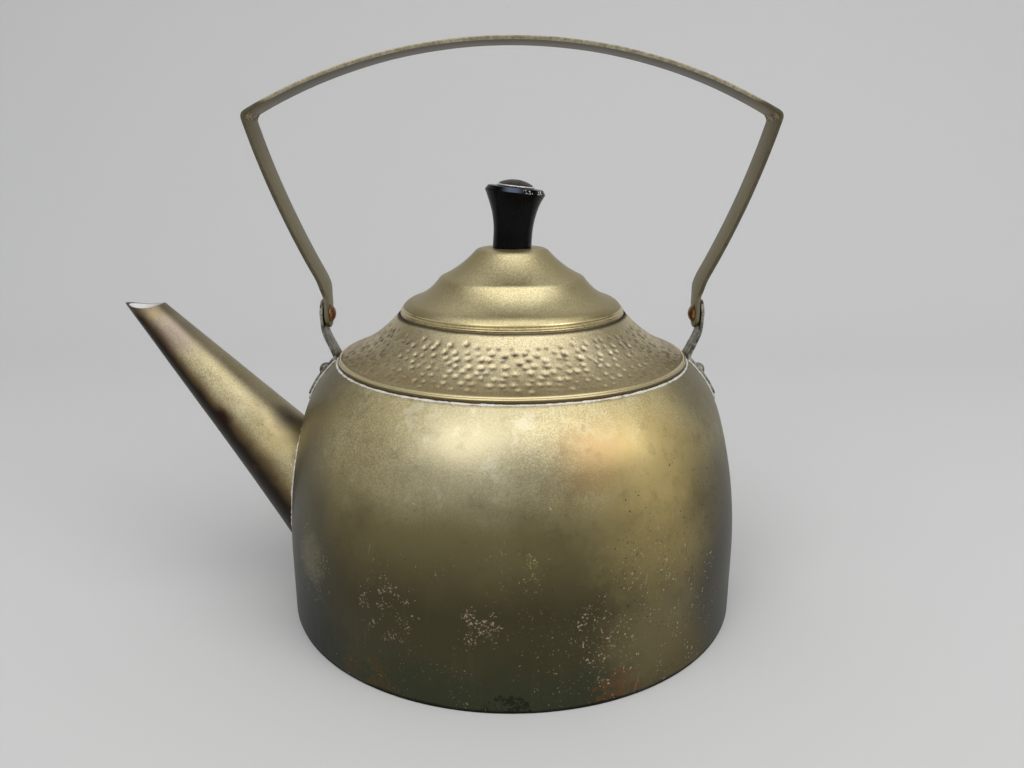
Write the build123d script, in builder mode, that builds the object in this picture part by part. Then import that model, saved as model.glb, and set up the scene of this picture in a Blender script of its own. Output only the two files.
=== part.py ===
from build123d import *
import math
import os

os.makedirs("parts", exist_ok=True)

# Drum: a spun brass wall with a domed shoulder, standing on a flat base
body_radius = 92.5
wall_thickness = 1.0
straight_wall_height = 25.0
wall_curve_radius = 190.0
shoulder_rise = 21.2
shoulder_radius = 44.7
collar_seat_height = 101.2
ledge_width = 4.5

# Base: a flat dish set inside the foot of the wall and soldered
base_thickness = 1.2
base_flange_height = 6.0
base_corner_radius = 1.0
base_fit_gap = 0.1
base_solder_leg = 0.9

# Collar: the hammered trumpet-shaped ring between drum and mouth
collar_set_back = 0.45
collar_thickness = 1.0
collar_sagitta = 1.8
collar_bead_radius = 0.9
collar_height = 18.3
collar_solder_height = 1.2
collar_solder_thickness = 0.4

# Mouth: a half-round ring on top of the collar
mouth_radius = 41.6
mouth_ring_width = 3.2
mouth_ring_height = 2.0
collar_neck_lip = 0.6
mouth_ring_round = 0.9

# Lid: a pressed ogee dome with one step, and a skirt that drops into the mouth
lid_thickness = 0.9
lid_rim_set_back = 1.0
lid_rim_width = 4.3
lid_rim_height = 3.5
lid_rim_sagitta = 0.6
lid_step_radius = 28.7
lid_step_height = 12.1
lid_crown_radius = 13.7
lid_height = 23.4
lid_lower_sagitta = 1.1
lid_upper_sagitta = 1.1
lid_step_round = 3.5
lid_crown_round = 3.5
skirt_clearance = 0.4
skirt_thickness = 0.8
skirt_depth = 8.0

# Knob: a turned black knob, leaning a little, held by one long rivet
knob_lean = 3.5
knob_stem_radius = 7.65
knob_stem_height = 4.9
knob_rim_radius = 11.85
knob_height = 23.3
knob_rim_round = 1.9
cup_washer_radius = 7.5
cup_washer_thickness = 0.6
cup_washer_round = 0.27
rivet_head_radius = 6.8
rivet_head_height = 1.8
rivet_shank_radius = 2.0
rivet_clearance = 0.15
lid_hole_clearance = 0.5
backing_washer_radius = 6.0
backing_washer_thickness = 0.8
rivet_tail_radius = 3.4
rivet_tail_height = 1.4

# Spout: a straight tapering tube on the wall, cut nearly level at the lip
spout_angle = 50.5
spout_root_drop = 25.6
spout_root_radius = 17.7
spout_tip_radius = 6.2
spout_axis_length = 85.0
spout_thickness = 1.0
spout_flare = 1.2
spout_flare_length = 26.0
spout_lip_sag_radius = 22.0
spout_solder_leg = 1.2

# Bail handle: one bent strip with brazed corners and round eyes
pivot_rise = 17.4
lug_stand_off = 5.5
strip_width = 16.0
strip_thickness = 1.5
eye_radius = 5.6
eye_taper_start = 7.0
eye_taper_height = 3.5
leg_bend_start = 5.5
leg_bend_radius = 22.0
leg_bend_angle = 27.5
bail_corner_spread = 26.4
bail_corner_rise = 76.6
bail_arch_rise = 103.3
bail_corner_round = 3.2
braze_leg = 3.6
braze_set_in = 0.5

# Lugs: two riveted and soldered straps that carry the handle
lug_width = 11.5
lug_thickness = 1.2
lug_bail_gap = 0.6
lug_bend_radius = 6.0
lug_straight_drop = 7.0
lug_heel_drop = 0.2
lug_foot_length = 20.0
lug_foot_corner_round = 3.0
lug_seat_gap = 0.15
lug_solder_margin = 1.0
lug_solder_thickness = 0.6

# Rivets of the lugs: the turning pins in the eyes and the ones in the feet
pivot_shank_radius = 2.4
pivot_running_fit = 0.05
pivot_lug_fit = 0.02
pivot_head_radius = 3.7
pivot_head_height = 1.9
pivot_head_gap = 0.15
pivot_tail_radius = 3.4
pivot_tail_height = 1.3
foot_rivet_distance = 8.4
foot_shank_radius = 1.5
foot_rivet_clearance = 0.1
foot_head_radius = 2.6
foot_head_height = 1.7
burr_radius = 4.0
burr_thickness = 0.8
burr_seat_gap = 0.2
foot_tail_radius = 2.5
foot_tail_height = 1.2

# Places worked out from the sizes above
shoulder_start_height = collar_seat_height - shoulder_rise
wall_centre_x = body_radius - wall_curve_radius
wall_sweep = math.asin((shoulder_start_height - straight_wall_height) / wall_curve_radius)
shoulder_centre_x = wall_centre_x + (wall_curve_radius - shoulder_radius) * math.cos(wall_sweep)
shoulder_centre_z = straight_wall_height + (wall_curve_radius - shoulder_radius) * math.sin(wall_sweep)


def shoulder_angle(height, offset=0.0):
    """Angle above level, about the shoulder's centre, of its surface at a height."""
    return math.asin((height - shoulder_centre_z) / (shoulder_radius + offset))


def shoulder_point(angle, offset=0.0):
    """Point in the XZ plane on the shoulder's arc, moved out by an offset."""
    radius = shoulder_radius + offset
    return (shoulder_centre_x + radius * math.cos(angle), shoulder_centre_z + radius * math.sin(angle))


collar_foot_radius = shoulder_point(shoulder_angle(collar_seat_height))[0] - collar_set_back
mouth_ring_bottom = collar_seat_height + collar_height
lid_seat_height = mouth_ring_bottom + mouth_ring_height
spout_root_height = shoulder_start_height - spout_root_drop
spout_lip_height = lid_seat_height
pivot_height = collar_seat_height + pivot_rise
mouth_ring_radius = mouth_radius + mouth_ring_width
lid_rim_radius = mouth_ring_radius - lid_rim_set_back
lid_top_height = lid_seat_height + lid_height
lug_inner_x = collar_foot_radius + lug_stand_off
bail_outer_x = lug_inner_x - lug_bail_gap
lug_outer_x = lug_inner_x + lug_thickness
lug_heel_angle = shoulder_angle(collar_seat_height - lug_heel_drop)
lug_toe_angle = lug_heel_angle - lug_foot_length / shoulder_radius
foot_rivet_angle = lug_heel_angle - foot_rivet_distance / shoulder_radius
margin = 5.0
past_all = 3 * body_radius


def wall_outline(offset, top_height):
    """The drum's line from the table up to a height, moved out by an offset."""
    radius = body_radius + offset
    half_sweep = wall_sweep / 2
    curve = wall_curve_radius + offset
    shoulder_foot = shoulder_point(wall_sweep, offset)
    top_angle = shoulder_angle(top_height, offset)
    Line((radius, 0), (radius, straight_wall_height))
    ThreePointArc(
        (radius, straight_wall_height),
        (wall_centre_x + curve * math.cos(half_sweep), straight_wall_height + curve * math.sin(half_sweep)),
        shoulder_foot,
    )
    ThreePointArc(
        shoulder_foot,
        shoulder_point((wall_sweep + top_angle) / 2, offset),
        shoulder_point(top_angle, offset),
    )
    return shoulder_point(top_angle, offset)


def drum_section(offset=0.0, top_height=collar_seat_height):
    """Half section of the whole space of the drum, moved out by an offset."""
    with BuildSketch(Plane.XZ) as section:
        with BuildLine():
            top = wall_outline(offset, top_height)
            Polyline(top, (0, top[1]), (0, 0), (body_radius + offset, 0))
        make_face()
    return section.sketch


def foot_rivet_plane(offset=0.0):
    """Plane square to the shoulder at the +X lug's rivet, moved out by an offset."""
    point = shoulder_point(foot_rivet_angle, offset)
    normal = (math.cos(foot_rivet_angle), 0, math.sin(foot_rivet_angle))
    return Plane((point[0], 0, point[1]), z_dir=normal)


# The drum filled solid, which trims what sits on it
with BuildPart() as drum_form:
    revolve(drum_section(), axis=Axis.Z)

# The spout's own plane: its local y axis runs out along the spout
spout_turn = math.radians(spout_angle)
spout_origin = (-body_radius, 0, spout_root_height)
spout_direction = (-math.cos(spout_turn), 0, math.sin(spout_turn))
spout_plane = Plane(spout_origin, x_dir=(math.sin(spout_turn), 0, math.cos(spout_turn)), z_dir=(0, -1, 0))
spout_axis = Axis(spout_origin, spout_direction)
spout_taper = (spout_root_radius - spout_tip_radius) / spout_axis_length
spout_reach_in = 2 * spout_root_radius
spout_reach_out = spout_axis_length + spout_root_radius


def spout_section(offset=0.0):
    """Half section of the spout's cone with its flared root, moved out by an offset."""
    flare_top = (spout_root_radius - spout_taper * spout_flare_length + offset, spout_flare_length)
    root = (spout_root_radius + spout_taper * spout_reach_in + spout_flare + offset, -spout_reach_in)
    tip = (spout_root_radius - spout_taper * spout_reach_out + offset, spout_reach_out)
    with BuildSketch(spout_plane) as section:
        with BuildLine():
            Line(tip, flare_top)
            TangentArc(flare_top, root, tangent=(spout_taper, -1))
            Polyline(root, (0, -spout_reach_in), (0, spout_reach_out), tip)
        make_face()
    return section.sketch


with BuildPart() as spout_form:
    revolve(spout_section(), axis=spout_axis)

with BuildPart() as spout_bore:
    revolve(spout_section(-spout_thickness), axis=spout_axis)

# Drills for the two rivets in the lugs' feet
with BuildPart() as foot_rivet_holes:
    with BuildSketch(foot_rivet_plane()):
        Circle(foot_shank_radius + foot_rivet_clearance)
    extrude(amount=margin, both=True)
    mirror(about=Plane.YZ)

# Drum wall, with its inward ledge and the opening behind the spout
with BuildPart() as body_shell:
    add(drum_form.part)
    revolve(
        drum_section(-wall_thickness, collar_seat_height - wall_thickness),
        axis=Axis.Z, mode=Mode.SUBTRACT,
    )
    with BuildSketch(Plane.XY.offset(collar_seat_height)):
        Circle(shoulder_point(shoulder_angle(collar_seat_height))[0] - ledge_width)
    extrude(amount=-2 * wall_thickness, mode=Mode.SUBTRACT)
    add(spout_bore.part, mode=Mode.SUBTRACT)
    add(foot_rivet_holes.part, mode=Mode.SUBTRACT)
body_shell.part.label = "body_shell"
export_step(body_shell.part, "parts/body_shell.step")

# Base dish
base_radius = body_radius - wall_thickness - base_fit_gap
with BuildPart() as base_plate:
    with BuildSketch(Plane.XZ):
        with BuildLine():
            Polyline((0, 0), (base_radius, 0), (base_radius, base_flange_height))
            offset(amount=base_thickness, side=Side.LEFT)
        make_face()
    revolve(axis=Axis.Z)
    fillet(base_plate.edges().group_by(Axis.Z)[0], base_corner_radius)
base_plate.part.label = "base_plate"
export_step(base_plate.part, "parts/base_plate.step")

# Solder fillet inside the drum, on the base dish's edge
solder_base_radius = body_radius - wall_thickness
with BuildPart() as base_solder:
    with BuildSketch(Plane.XZ):
        with BuildLine():
            Polyline(
                (solder_base_radius, base_flange_height),
                (solder_base_radius, base_flange_height + base_solder_leg),
                (solder_base_radius - base_solder_leg, base_flange_height),
                close=True,
            )
        make_face()
    revolve(axis=Axis.Z)
base_solder.part.label = "base_solder"
export_step(base_solder.part, "parts/base_solder.step")

# Hammered collar: a hollow trumpet line with a rolled bead at its foot
collar_bead_x = collar_foot_radius - collar_bead_radius
collar_foot = (collar_bead_x, collar_seat_height + 2 * collar_bead_radius)
collar_neck = (mouth_ring_radius + collar_neck_lip, mouth_ring_bottom)
with BuildPart() as shoulder_collar:
    with BuildSketch(Plane.XZ):
        with BuildLine():
            sweep = SagittaArc(collar_foot, collar_neck, collar_sagitta)
            neck_end = sweep @ 1 + (sweep % 1) * margin
            Line(sweep @ 1, neck_end)
            offset(amount=collar_thickness, side=Side.LEFT)
        make_face()
        with Locations((collar_bead_x, collar_seat_height + collar_bead_radius)):
            Circle(collar_bead_radius)
        with Locations((0, mouth_ring_bottom)):
            Rectangle(past_all, margin + collar_thickness, align=(Align.MIN, Align.MIN), mode=Mode.SUBTRACT)
    revolve(axis=Axis.Z)
shoulder_collar.part.label = "shoulder_collar"
export_step(shoulder_collar.part, "parts/shoulder_collar.step")

# Mouth ring, flat above and below and round outside
with BuildPart() as mouth_ring:
    with BuildSketch(Plane.XZ):
        with Locations((mouth_radius, mouth_ring_bottom)):
            ring_box = Rectangle(mouth_ring_width, mouth_ring_height, align=(Align.MIN, Align.MIN))
        fillet(ring_box.vertices().group_by(Axis.X)[-1], mouth_ring_round)
    revolve(axis=Axis.Z)
mouth_ring.part.label = "mouth_ring"
export_step(mouth_ring.part, "parts/mouth_ring.step")

# Lid shell
lid_axis_hole = rivet_shank_radius + lid_hole_clearance
lid_step_point = (lid_step_radius, lid_seat_height + lid_step_height)
lid_crown_point = (lid_crown_radius, lid_top_height)
lid_flank_foot = (lid_rim_radius - lid_rim_width, lid_seat_height + lid_rim_height)
with BuildPart() as lid_shell:
    with BuildSketch(Plane.XZ):
        with BuildLine() as lid_line:
            SagittaArc(lid_flank_foot, lid_step_point, lid_lower_sagitta)
            SagittaArc(lid_step_point, lid_crown_point, lid_upper_sagitta)
            Line(lid_crown_point, (lid_axis_hole, lid_top_height))
            step_corner = lid_line.vertices().sort_by_distance((*lid_step_point, 0))[0]
            fillet(step_corner, lid_step_round)
            crown_corner = lid_line.vertices().sort_by_distance((*lid_crown_point, 0))[0]
            fillet(crown_corner, lid_crown_round)
            SagittaArc((lid_rim_radius, lid_seat_height), lid_flank_foot, -lid_rim_sagitta)
            offset(amount=lid_thickness, side=Side.LEFT)
        make_face()
        with Locations((0, lid_seat_height)):
            Rectangle(past_all, margin, align=(Align.MIN, Align.MAX), mode=Mode.SUBTRACT)
    revolve(axis=Axis.Z)
lid_shell.part.label = "lid_shell"
export_step(lid_shell.part, "parts/lid_shell.step")

# Skirt under the lid, trimmed to the shell's underside
skirt_radius = mouth_radius - skirt_clearance
with BuildPart() as lid_skirt:
    with BuildSketch(Plane.XY.offset(lid_seat_height - skirt_depth)):
        Circle(skirt_radius)
        Circle(skirt_radius - skirt_thickness, mode=Mode.SUBTRACT)
    extrude(amount=skirt_depth + lid_height)
    add(lid_shell.part, mode=Mode.SUBTRACT)
    add(lid_skirt.part.solids().sort_by(Axis.Z)[0], mode=Mode.REPLACE)
lid_skirt.part.label = "lid_skirt"
export_step(lid_skirt.part, "parts/lid_skirt.step")

# The knob's own plane: its local y axis runs up the leaning knob
lean = math.radians(knob_lean)
knob_foot = (0, 0, lid_top_height)
knob_plane = Plane(knob_foot, x_dir=(math.cos(lean), 0, -math.sin(lean)), z_dir=(0, -1, 0))
knob_axis = Axis(knob_foot, (math.sin(lean), 0, math.cos(lean)))
knob_bore_radius = rivet_shank_radius + rivet_clearance

# Knob, its foot cut level so that it sits flat on the leaning side too
with BuildPart() as lid_knob:
    with BuildSketch(knob_plane):
        with BuildLine():
            stem_foot = (knob_stem_radius, -knob_stem_radius * math.tan(lean) - knob_rim_round)
            stem_top = (knob_stem_radius, knob_stem_height)
            rim_edge = (knob_rim_radius, knob_height - knob_rim_round)
            rim_top = (knob_rim_radius - knob_rim_round, knob_height)
            Line(stem_foot, stem_top)
            TangentArc(stem_top, rim_edge, tangent=(0, 1))
            TangentArc(rim_top, rim_edge, tangent=(1, 0))
            Polyline(rim_top, (knob_bore_radius, knob_height), (knob_bore_radius, stem_foot[1]), stem_foot)
        make_face()
    revolve(axis=knob_axis)
    split(bisect_by=Plane.XY.offset(lid_top_height), keep=Keep.TOP)
lid_knob.part.label = "lid_knob"
export_step(lid_knob.part, "parts/lid_knob.step")

# Bright ring between the knob and the rivet's head
with BuildPart() as knob_cup_washer:
    with BuildSketch(knob_plane):
        with Locations((knob_bore_radius, knob_height)):
            washer_box = Rectangle(
                cup_washer_radius - knob_bore_radius, cup_washer_thickness,
                align=(Align.MIN, Align.MIN),
            )
        fillet(washer_box.vertices().group_by(Axis.X)[-1], cup_washer_round)
    revolve(axis=knob_axis)
knob_cup_washer.part.label = "knob_cup_washer"
export_step(knob_cup_washer.part, "parts/knob_cup_washer.step")

# Washer under the lid
lid_underside = lid_top_height - lid_thickness
with BuildPart() as knob_backing_washer:
    with BuildSketch(Plane.XY.offset(lid_underside)):
        Circle(backing_washer_radius)
        Circle(lid_axis_hole, mode=Mode.SUBTRACT)
    extrude(amount=-backing_washer_thickness)
knob_backing_washer.part.label = "knob_backing_washer"
export_step(knob_backing_washer.part, "parts/knob_backing_washer.step")

# Long rivet through knob, lid and washer, peened over below
washer_underside = lid_underside - backing_washer_thickness
rivet_tail_y = washer_underside - lid_top_height
rivet_head_y = knob_height + cup_washer_thickness
with BuildPart() as knob_rivet:
    with BuildSketch(knob_plane):
        with BuildLine():
            tail_tip = (0, rivet_tail_y - rivet_tail_height)
            tail_edge = (rivet_tail_radius, rivet_tail_y)
            tail_top = (rivet_tail_radius, rivet_tail_y + rivet_tail_height)
            TangentArc(tail_tip, tail_edge, tangent=(1, 0))
            Polyline(tail_edge, tail_top, (0, tail_top[1]), tail_tip)
        make_face()
    revolve(axis=knob_axis)
    split(bisect_by=Plane.XY.offset(washer_underside), keep=Keep.BOTTOM)
    with BuildSketch(knob_plane):
        with BuildLine():
            head_edge = (rivet_head_radius, rivet_head_y)
            head_tip = (0, rivet_head_y + rivet_head_height)
            TangentArc(head_tip, head_edge, tangent=(1, 0))
            Polyline(
                head_tip, (0, rivet_tail_y - rivet_tail_height / 2),
                (rivet_shank_radius, rivet_tail_y - rivet_tail_height / 2),
                (rivet_shank_radius, rivet_head_y), head_edge,
            )
        make_face()
    revolve(axis=knob_axis)
knob_rivet.part.label = "knob_rivet"
export_step(knob_rivet.part, "parts/knob_rivet.step")

# Spout: the cone made hollow, trimmed to the wall and cut at the lip
lip_axis_length = (spout_lip_height - spout_root_height) / math.sin(spout_turn)
lip_x = -body_radius - lip_axis_length * math.cos(spout_turn)
lip_top = spout_lip_height + spout_lip_sag_radius
with BuildPart() as spout:
    add(spout_form.part)
    add(spout_bore.part, mode=Mode.SUBTRACT)
    add(drum_form.part, mode=Mode.SUBTRACT)
    with BuildSketch(Plane.XZ):
        with Locations((lip_x, lip_top)):
            Circle(spout_lip_sag_radius)
            Rectangle(2 * spout_lip_sag_radius, past_all, align=(Align.CENTER, Align.MIN))
    extrude(amount=body_radius, both=True, mode=Mode.SUBTRACT)
spout.part.label = "spout"
export_step(spout.part, "parts/spout.step")

# Solder bead along the spout's root
with BuildPart() as spout_solder:
    revolve(spout_section(spout_solder_leg), axis=spout_axis)
    revolve(drum_section(spout_solder_leg), axis=Axis.Z, mode=Mode.INTERSECT)
    add(spout_form.part, mode=Mode.SUBTRACT)
    add(drum_form.part, mode=Mode.SUBTRACT)
spout_solder.part.label = "spout_solder"
export_step(spout_solder.part, "parts/spout_solder.step")

# Bail handle: half of its line from one eye to the top, then mirrored
eye_bottom = (bail_outer_x, pivot_height - 2 * eye_radius)
eye_top = (bail_outer_x, pivot_height + leg_bend_start)
bend_turn = math.radians(leg_bend_angle)
bend_top = (
    eye_top[0] + leg_bend_radius * (1 - math.cos(bend_turn)),
    eye_top[1] + leg_bend_radius * math.sin(bend_turn),
)
bail_corner = (bail_outer_x + bail_corner_spread, pivot_height + bail_corner_rise)
arch_top = (0, pivot_height + bail_arch_rise)
with BuildPart() as bail_handle:
    with BuildSketch(Plane.XZ):
        with BuildLine() as bail_line:
            Line(eye_bottom, eye_top)
            TangentArc(eye_top, bend_top, tangent=(0, 1))
            TangentArc(bend_top, bail_corner, tangent=(math.sin(bend_turn), math.cos(bend_turn)))
            TangentArc(arch_top, bail_corner, tangent=(1, 0))
            corner_vertex = bail_line.vertices().sort_by_distance((*bail_corner, 0))[0]
            fillet(corner_vertex, bail_corner_round)
            offset(amount=strip_thickness, side=Side.LEFT)
        make_face()
        mirror(about=Plane.YZ)
    extrude(amount=strip_width / 2, both=True)
    with BuildSketch(Plane.YZ):
        with BuildLine():
            taper_foot = pivot_height + eye_taper_start
            Polyline(
                (-eye_radius, pivot_height), (-eye_radius, taper_foot),
                (-strip_width / 2, taper_foot + eye_taper_height),
                (-strip_width / 2, arch_top[1] + margin), (strip_width / 2, arch_top[1] + margin),
                (strip_width / 2, taper_foot + eye_taper_height),
                (eye_radius, taper_foot), (eye_radius, pivot_height),
            )
            RadiusArc((eye_radius, pivot_height), (-eye_radius, pivot_height), eye_radius)
        make_face()
        with Locations((0, pivot_height)):
            Circle(pivot_shank_radius + pivot_running_fit, mode=Mode.SUBTRACT)
    extrude(amount=past_all, both=True, mode=Mode.INTERSECT)
bail_handle.part.label = "bail_handle"
export_step(bail_handle.part, "parts/bail_handle.step")

# Braze in the two inner corners of the handle
arch_turn = 2 * math.atan2(arch_top[1] - bail_corner[1], bail_corner[0])
leg_turn = 2 * math.atan2(bail_corner[0] - bend_top[0], bail_corner[1] - bend_top[1]) - bend_turn
along_arch = Vector(-math.cos(arch_turn), math.sin(arch_turn))
along_leg = Vector(-math.sin(leg_turn), -math.cos(leg_turn))
inner_corner_reach = strip_thickness / math.sin(math.radians(along_arch.get_angle(along_leg)))
inner_corner = Vector(*bail_corner) + (along_arch + along_leg) * inner_corner_reach
with BuildPart() as bail_corner_braze:
    with BuildSketch(Plane.XZ):
        with BuildLine():
            Polyline(
                inner_corner,
                inner_corner + along_arch * braze_leg,
                inner_corner + along_leg * braze_leg,
                close=True,
            )
        make_face()
        mirror(about=Plane.YZ)
    extrude(amount=strip_width / 2 - braze_set_in, both=True)
    add(bail_handle.part, mode=Mode.SUBTRACT)
bail_corner_braze.part.label = "bail_corner_braze"
export_step(bail_corner_braze.part, "parts/bail_corner_braze.step")

# The lug on the +X side: eye, slanting strap, and a foot that lies on the shoulder
strap_top = (lug_inner_x, pivot_height - lug_straight_drop)
heel = shoulder_point(lug_heel_angle, lug_seat_gap)
toe = shoulder_point(lug_toe_angle, lug_seat_gap)
with BuildPart() as lug_form:
    with BuildSketch(Plane.XZ):
        with BuildLine() as lug_line:
            Polyline((lug_inner_x, pivot_height + lug_width), strap_top, heel)
            ThreePointArc(heel, shoulder_point((lug_heel_angle + lug_toe_angle) / 2, lug_seat_gap), toe)
            fillet(lug_line.vertices().sort_by_distance((*strap_top, 0))[0], lug_bend_radius)
            offset(amount=lug_thickness, side=Side.LEFT)
        make_face()
    extrude(amount=lug_width / 2, both=True)
    with BuildSketch(Plane.YZ):
        with Locations((0, toe[1])):
            lug_strip = Rectangle(lug_width, pivot_height - toe[1], align=(Align.CENTER, Align.MIN))
        fillet(lug_strip.vertices().group_by(Axis.Y)[0], lug_foot_corner_round)
        with Locations((0, pivot_height)):
            Circle(lug_width / 2)
            Circle(pivot_shank_radius + pivot_lug_fit, mode=Mode.SUBTRACT)
    extrude(amount=past_all, mode=Mode.INTERSECT)
    add(foot_rivet_holes.part, mode=Mode.SUBTRACT)
    add(drum_form.part, mode=Mode.SUBTRACT)

# The turning rivet on the +X side, its round head inside and its peened tail outside
pivot_axis = Axis((0, 0, pivot_height), (1, 0, 0))
pivot_head_x = bail_outer_x - strip_thickness - pivot_head_gap
with BuildPart() as pivot_rivet_form:
    with BuildSketch(Plane.XZ):
        with BuildLine():
            head_tip = (pivot_head_x - pivot_head_height, pivot_height)
            head_edge = (pivot_head_x, pivot_height + pivot_head_radius)
            tail_edge = (lug_outer_x, pivot_height + pivot_tail_radius)
            tail_tip = (lug_outer_x + pivot_tail_height, pivot_height)
            shank_z = pivot_height + pivot_shank_radius
            TangentArc(head_tip, head_edge, tangent=(0, 1))
            Polyline(head_edge, (pivot_head_x, shank_z), (lug_outer_x, shank_z), tail_edge)
            TangentArc(tail_tip, tail_edge, tangent=(0, 1))
            Line(tail_tip, head_tip)
        make_face()
    revolve(axis=pivot_axis)

# Both lugs and both turning rivets, the -X ones mirrored
for side_name, mirrored in (("rear", False), ("spout_side", True)):
    for piece_name, form in (("lug", lug_form), ("pivot_rivet", pivot_rivet_form)):
        with BuildPart() as piece:
            add(form.part.mirror(Plane.YZ) if mirrored else form.part)
        piece.part.label = f"{side_name}_{piece_name}"
        export_step(piece.part, f"parts/{side_name}_{piece_name}.step")

# Solder film under and round each lug's foot
solder_drop = (toe[1] - lug_solder_margin, collar_seat_height - collar_solder_height - lug_seat_gap)
with BuildPart() as lug_solder:
    revolve(drum_section(lug_solder_thickness), axis=Axis.Z)
    add(drum_form.part, mode=Mode.SUBTRACT)
    with BuildSketch(Plane.YZ):
        with Locations((0, solder_drop[0])):
            solder_patch = Rectangle(
                lug_width + 2 * lug_solder_margin, solder_drop[1] - solder_drop[0],
                align=(Align.CENTER, Align.MIN),
            )
        fillet(solder_patch.vertices().group_by(Axis.Y)[0], lug_foot_corner_round + lug_solder_margin)
    extrude(amount=past_all, mode=Mode.INTERSECT)
    add(lug_form.part, mode=Mode.SUBTRACT)
    add(foot_rivet_holes.part, mode=Mode.SUBTRACT)
    mirror(about=Plane.YZ)
lug_solder.part.label = "lug_solder"
export_step(lug_solder.part, "parts/lug_solder.step")

# Solder line on the drum just under the collar, broken where the lugs' heels stand
with BuildPart() as collar_solder:
    revolve(drum_section(collar_solder_thickness), axis=Axis.Z)
    add(drum_form.part, mode=Mode.SUBTRACT)
    with BuildSketch(Plane.XY.offset(collar_seat_height)):
        Circle(past_all)
    extrude(amount=-collar_solder_height, mode=Mode.INTERSECT)
    add(lug_form.part, mode=Mode.SUBTRACT)
    add(lug_form.part.mirror(Plane.YZ), mode=Mode.SUBTRACT)
collar_solder.part.label = "collar_solder"
export_step(collar_solder.part, "parts/collar_solder.step")

# Rivets through the feet, each with a washer and a peened tail inside the drum
foot_head_base = lug_seat_gap + lug_thickness
burr_face = -wall_thickness - burr_seat_gap
burr_underside = burr_face - burr_thickness
foot_normal = foot_rivet_plane().z_dir
foot_rivet_axis = Axis(foot_rivet_plane().origin, foot_normal)
foot_section_plane = Plane(
    foot_rivet_plane().origin, x_dir=(0, 1, 0), z_dir=(foot_normal.Z, 0, -foot_normal.X)
)
with BuildPart() as lug_foot_rivets:
    with BuildSketch(foot_section_plane):
        with BuildLine():
            foot_head_tip = (0, foot_head_base + foot_head_height)
            foot_head_edge = (foot_head_radius, foot_head_base)
            foot_tail_tip = (0, burr_underside - foot_tail_height)
            foot_tail_edge = (foot_tail_radius, burr_underside)
            TangentArc(foot_head_tip, foot_head_edge, tangent=(1, 0))
            Polyline(
                foot_head_edge, (foot_shank_radius, foot_head_base),
                (foot_shank_radius, burr_underside), foot_tail_edge,
            )
            TangentArc(foot_tail_tip, foot_tail_edge, tangent=(1, 0))
            Line(foot_tail_tip, foot_head_tip)
        make_face()
    revolve(axis=foot_rivet_axis)
    mirror(about=Plane.YZ)
lug_foot_rivets.part.label = "lug_foot_rivets"
export_step(lug_foot_rivets.part, "parts/lug_foot_rivets.step")

with BuildPart() as lug_rivet_washers:
    with BuildSketch(foot_rivet_plane(burr_face)):
        Circle(burr_radius)
        Circle(foot_shank_radius + foot_rivet_clearance, mode=Mode.SUBTRACT)
    extrude(amount=-burr_thickness)
    mirror(about=Plane.YZ)
lug_rivet_washers.part.label = "lug_rivet_washers"
export_step(lug_rivet_washers.part, "parts/lug_rivet_washers.step")
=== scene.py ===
import bpy
import math
import random
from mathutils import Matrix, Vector, kdtree


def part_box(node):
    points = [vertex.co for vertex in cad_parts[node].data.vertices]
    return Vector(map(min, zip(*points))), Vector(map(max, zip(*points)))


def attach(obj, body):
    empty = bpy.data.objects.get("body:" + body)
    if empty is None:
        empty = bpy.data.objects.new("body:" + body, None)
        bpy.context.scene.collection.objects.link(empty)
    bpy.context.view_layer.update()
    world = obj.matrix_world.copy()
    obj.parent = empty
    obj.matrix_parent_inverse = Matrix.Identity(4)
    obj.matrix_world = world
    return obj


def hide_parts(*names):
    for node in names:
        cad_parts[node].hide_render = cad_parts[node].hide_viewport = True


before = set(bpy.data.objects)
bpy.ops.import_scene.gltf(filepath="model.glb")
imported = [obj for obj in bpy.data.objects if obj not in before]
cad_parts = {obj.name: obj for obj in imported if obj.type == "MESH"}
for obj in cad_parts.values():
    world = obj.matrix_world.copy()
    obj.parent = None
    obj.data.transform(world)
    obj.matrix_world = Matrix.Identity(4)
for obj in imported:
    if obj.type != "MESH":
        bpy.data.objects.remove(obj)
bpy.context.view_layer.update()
mm = 0.001               # lengths are written in mm and made metres by this
print("frame in place,", len(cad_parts), "nodes")


# Selecting, shaping and finishing

def leaveEdit():
    bpy.ops.object.mode_set(mode="OBJECT")


def openClean():
    if bpy.context.object and bpy.context.object.mode != "OBJECT":
        leaveEdit()
    bpy.ops.object.select_all(action="DESELECT")


def makeActive(piece):
    openClean()
    piece.select_set(True)
    bpy.context.view_layer.objects.active = piece


def editAll(piece):
    makeActive(piece)
    bpy.ops.object.mode_set(mode="EDIT")
    bpy.ops.mesh.select_all(action="SELECT")


def selectPoints(piece, wanted):                   # wanted is asked about each vertex
    makeActive(piece)
    bpy.ops.object.mode_set(mode="EDIT")
    bpy.context.tool_settings.mesh_select_mode = (True, False, False)
    bpy.ops.mesh.select_all(action="DESELECT")
    leaveEdit()
    for vertex in piece.data.vertices:
        vertex.select = wanted(vertex)
    bpy.ops.object.mode_set(mode="EDIT")


def settle(piece, place=(0, 0, 0), turn=(0, 0, 0)):   # place in mm and turn in degrees go into the mesh
    makeActive(piece)
    bpy.ops.object.transform_apply(location=True, rotation=True, scale=True)
    piece.rotation_euler = [math.radians(angle) for angle in turn]
    piece.location = Vector(place) * mm
    bpy.ops.object.transform_apply(location=True, rotation=True, scale=True)


def useModifier(piece, kind, **settings):
    makeActive(piece)
    modifier = piece.modifiers.new(kind.title(), kind)
    for key, value in settings.items():
        setattr(modifier, key, value)
    bpy.ops.object.modifier_apply(modifier=modifier.name)


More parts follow.
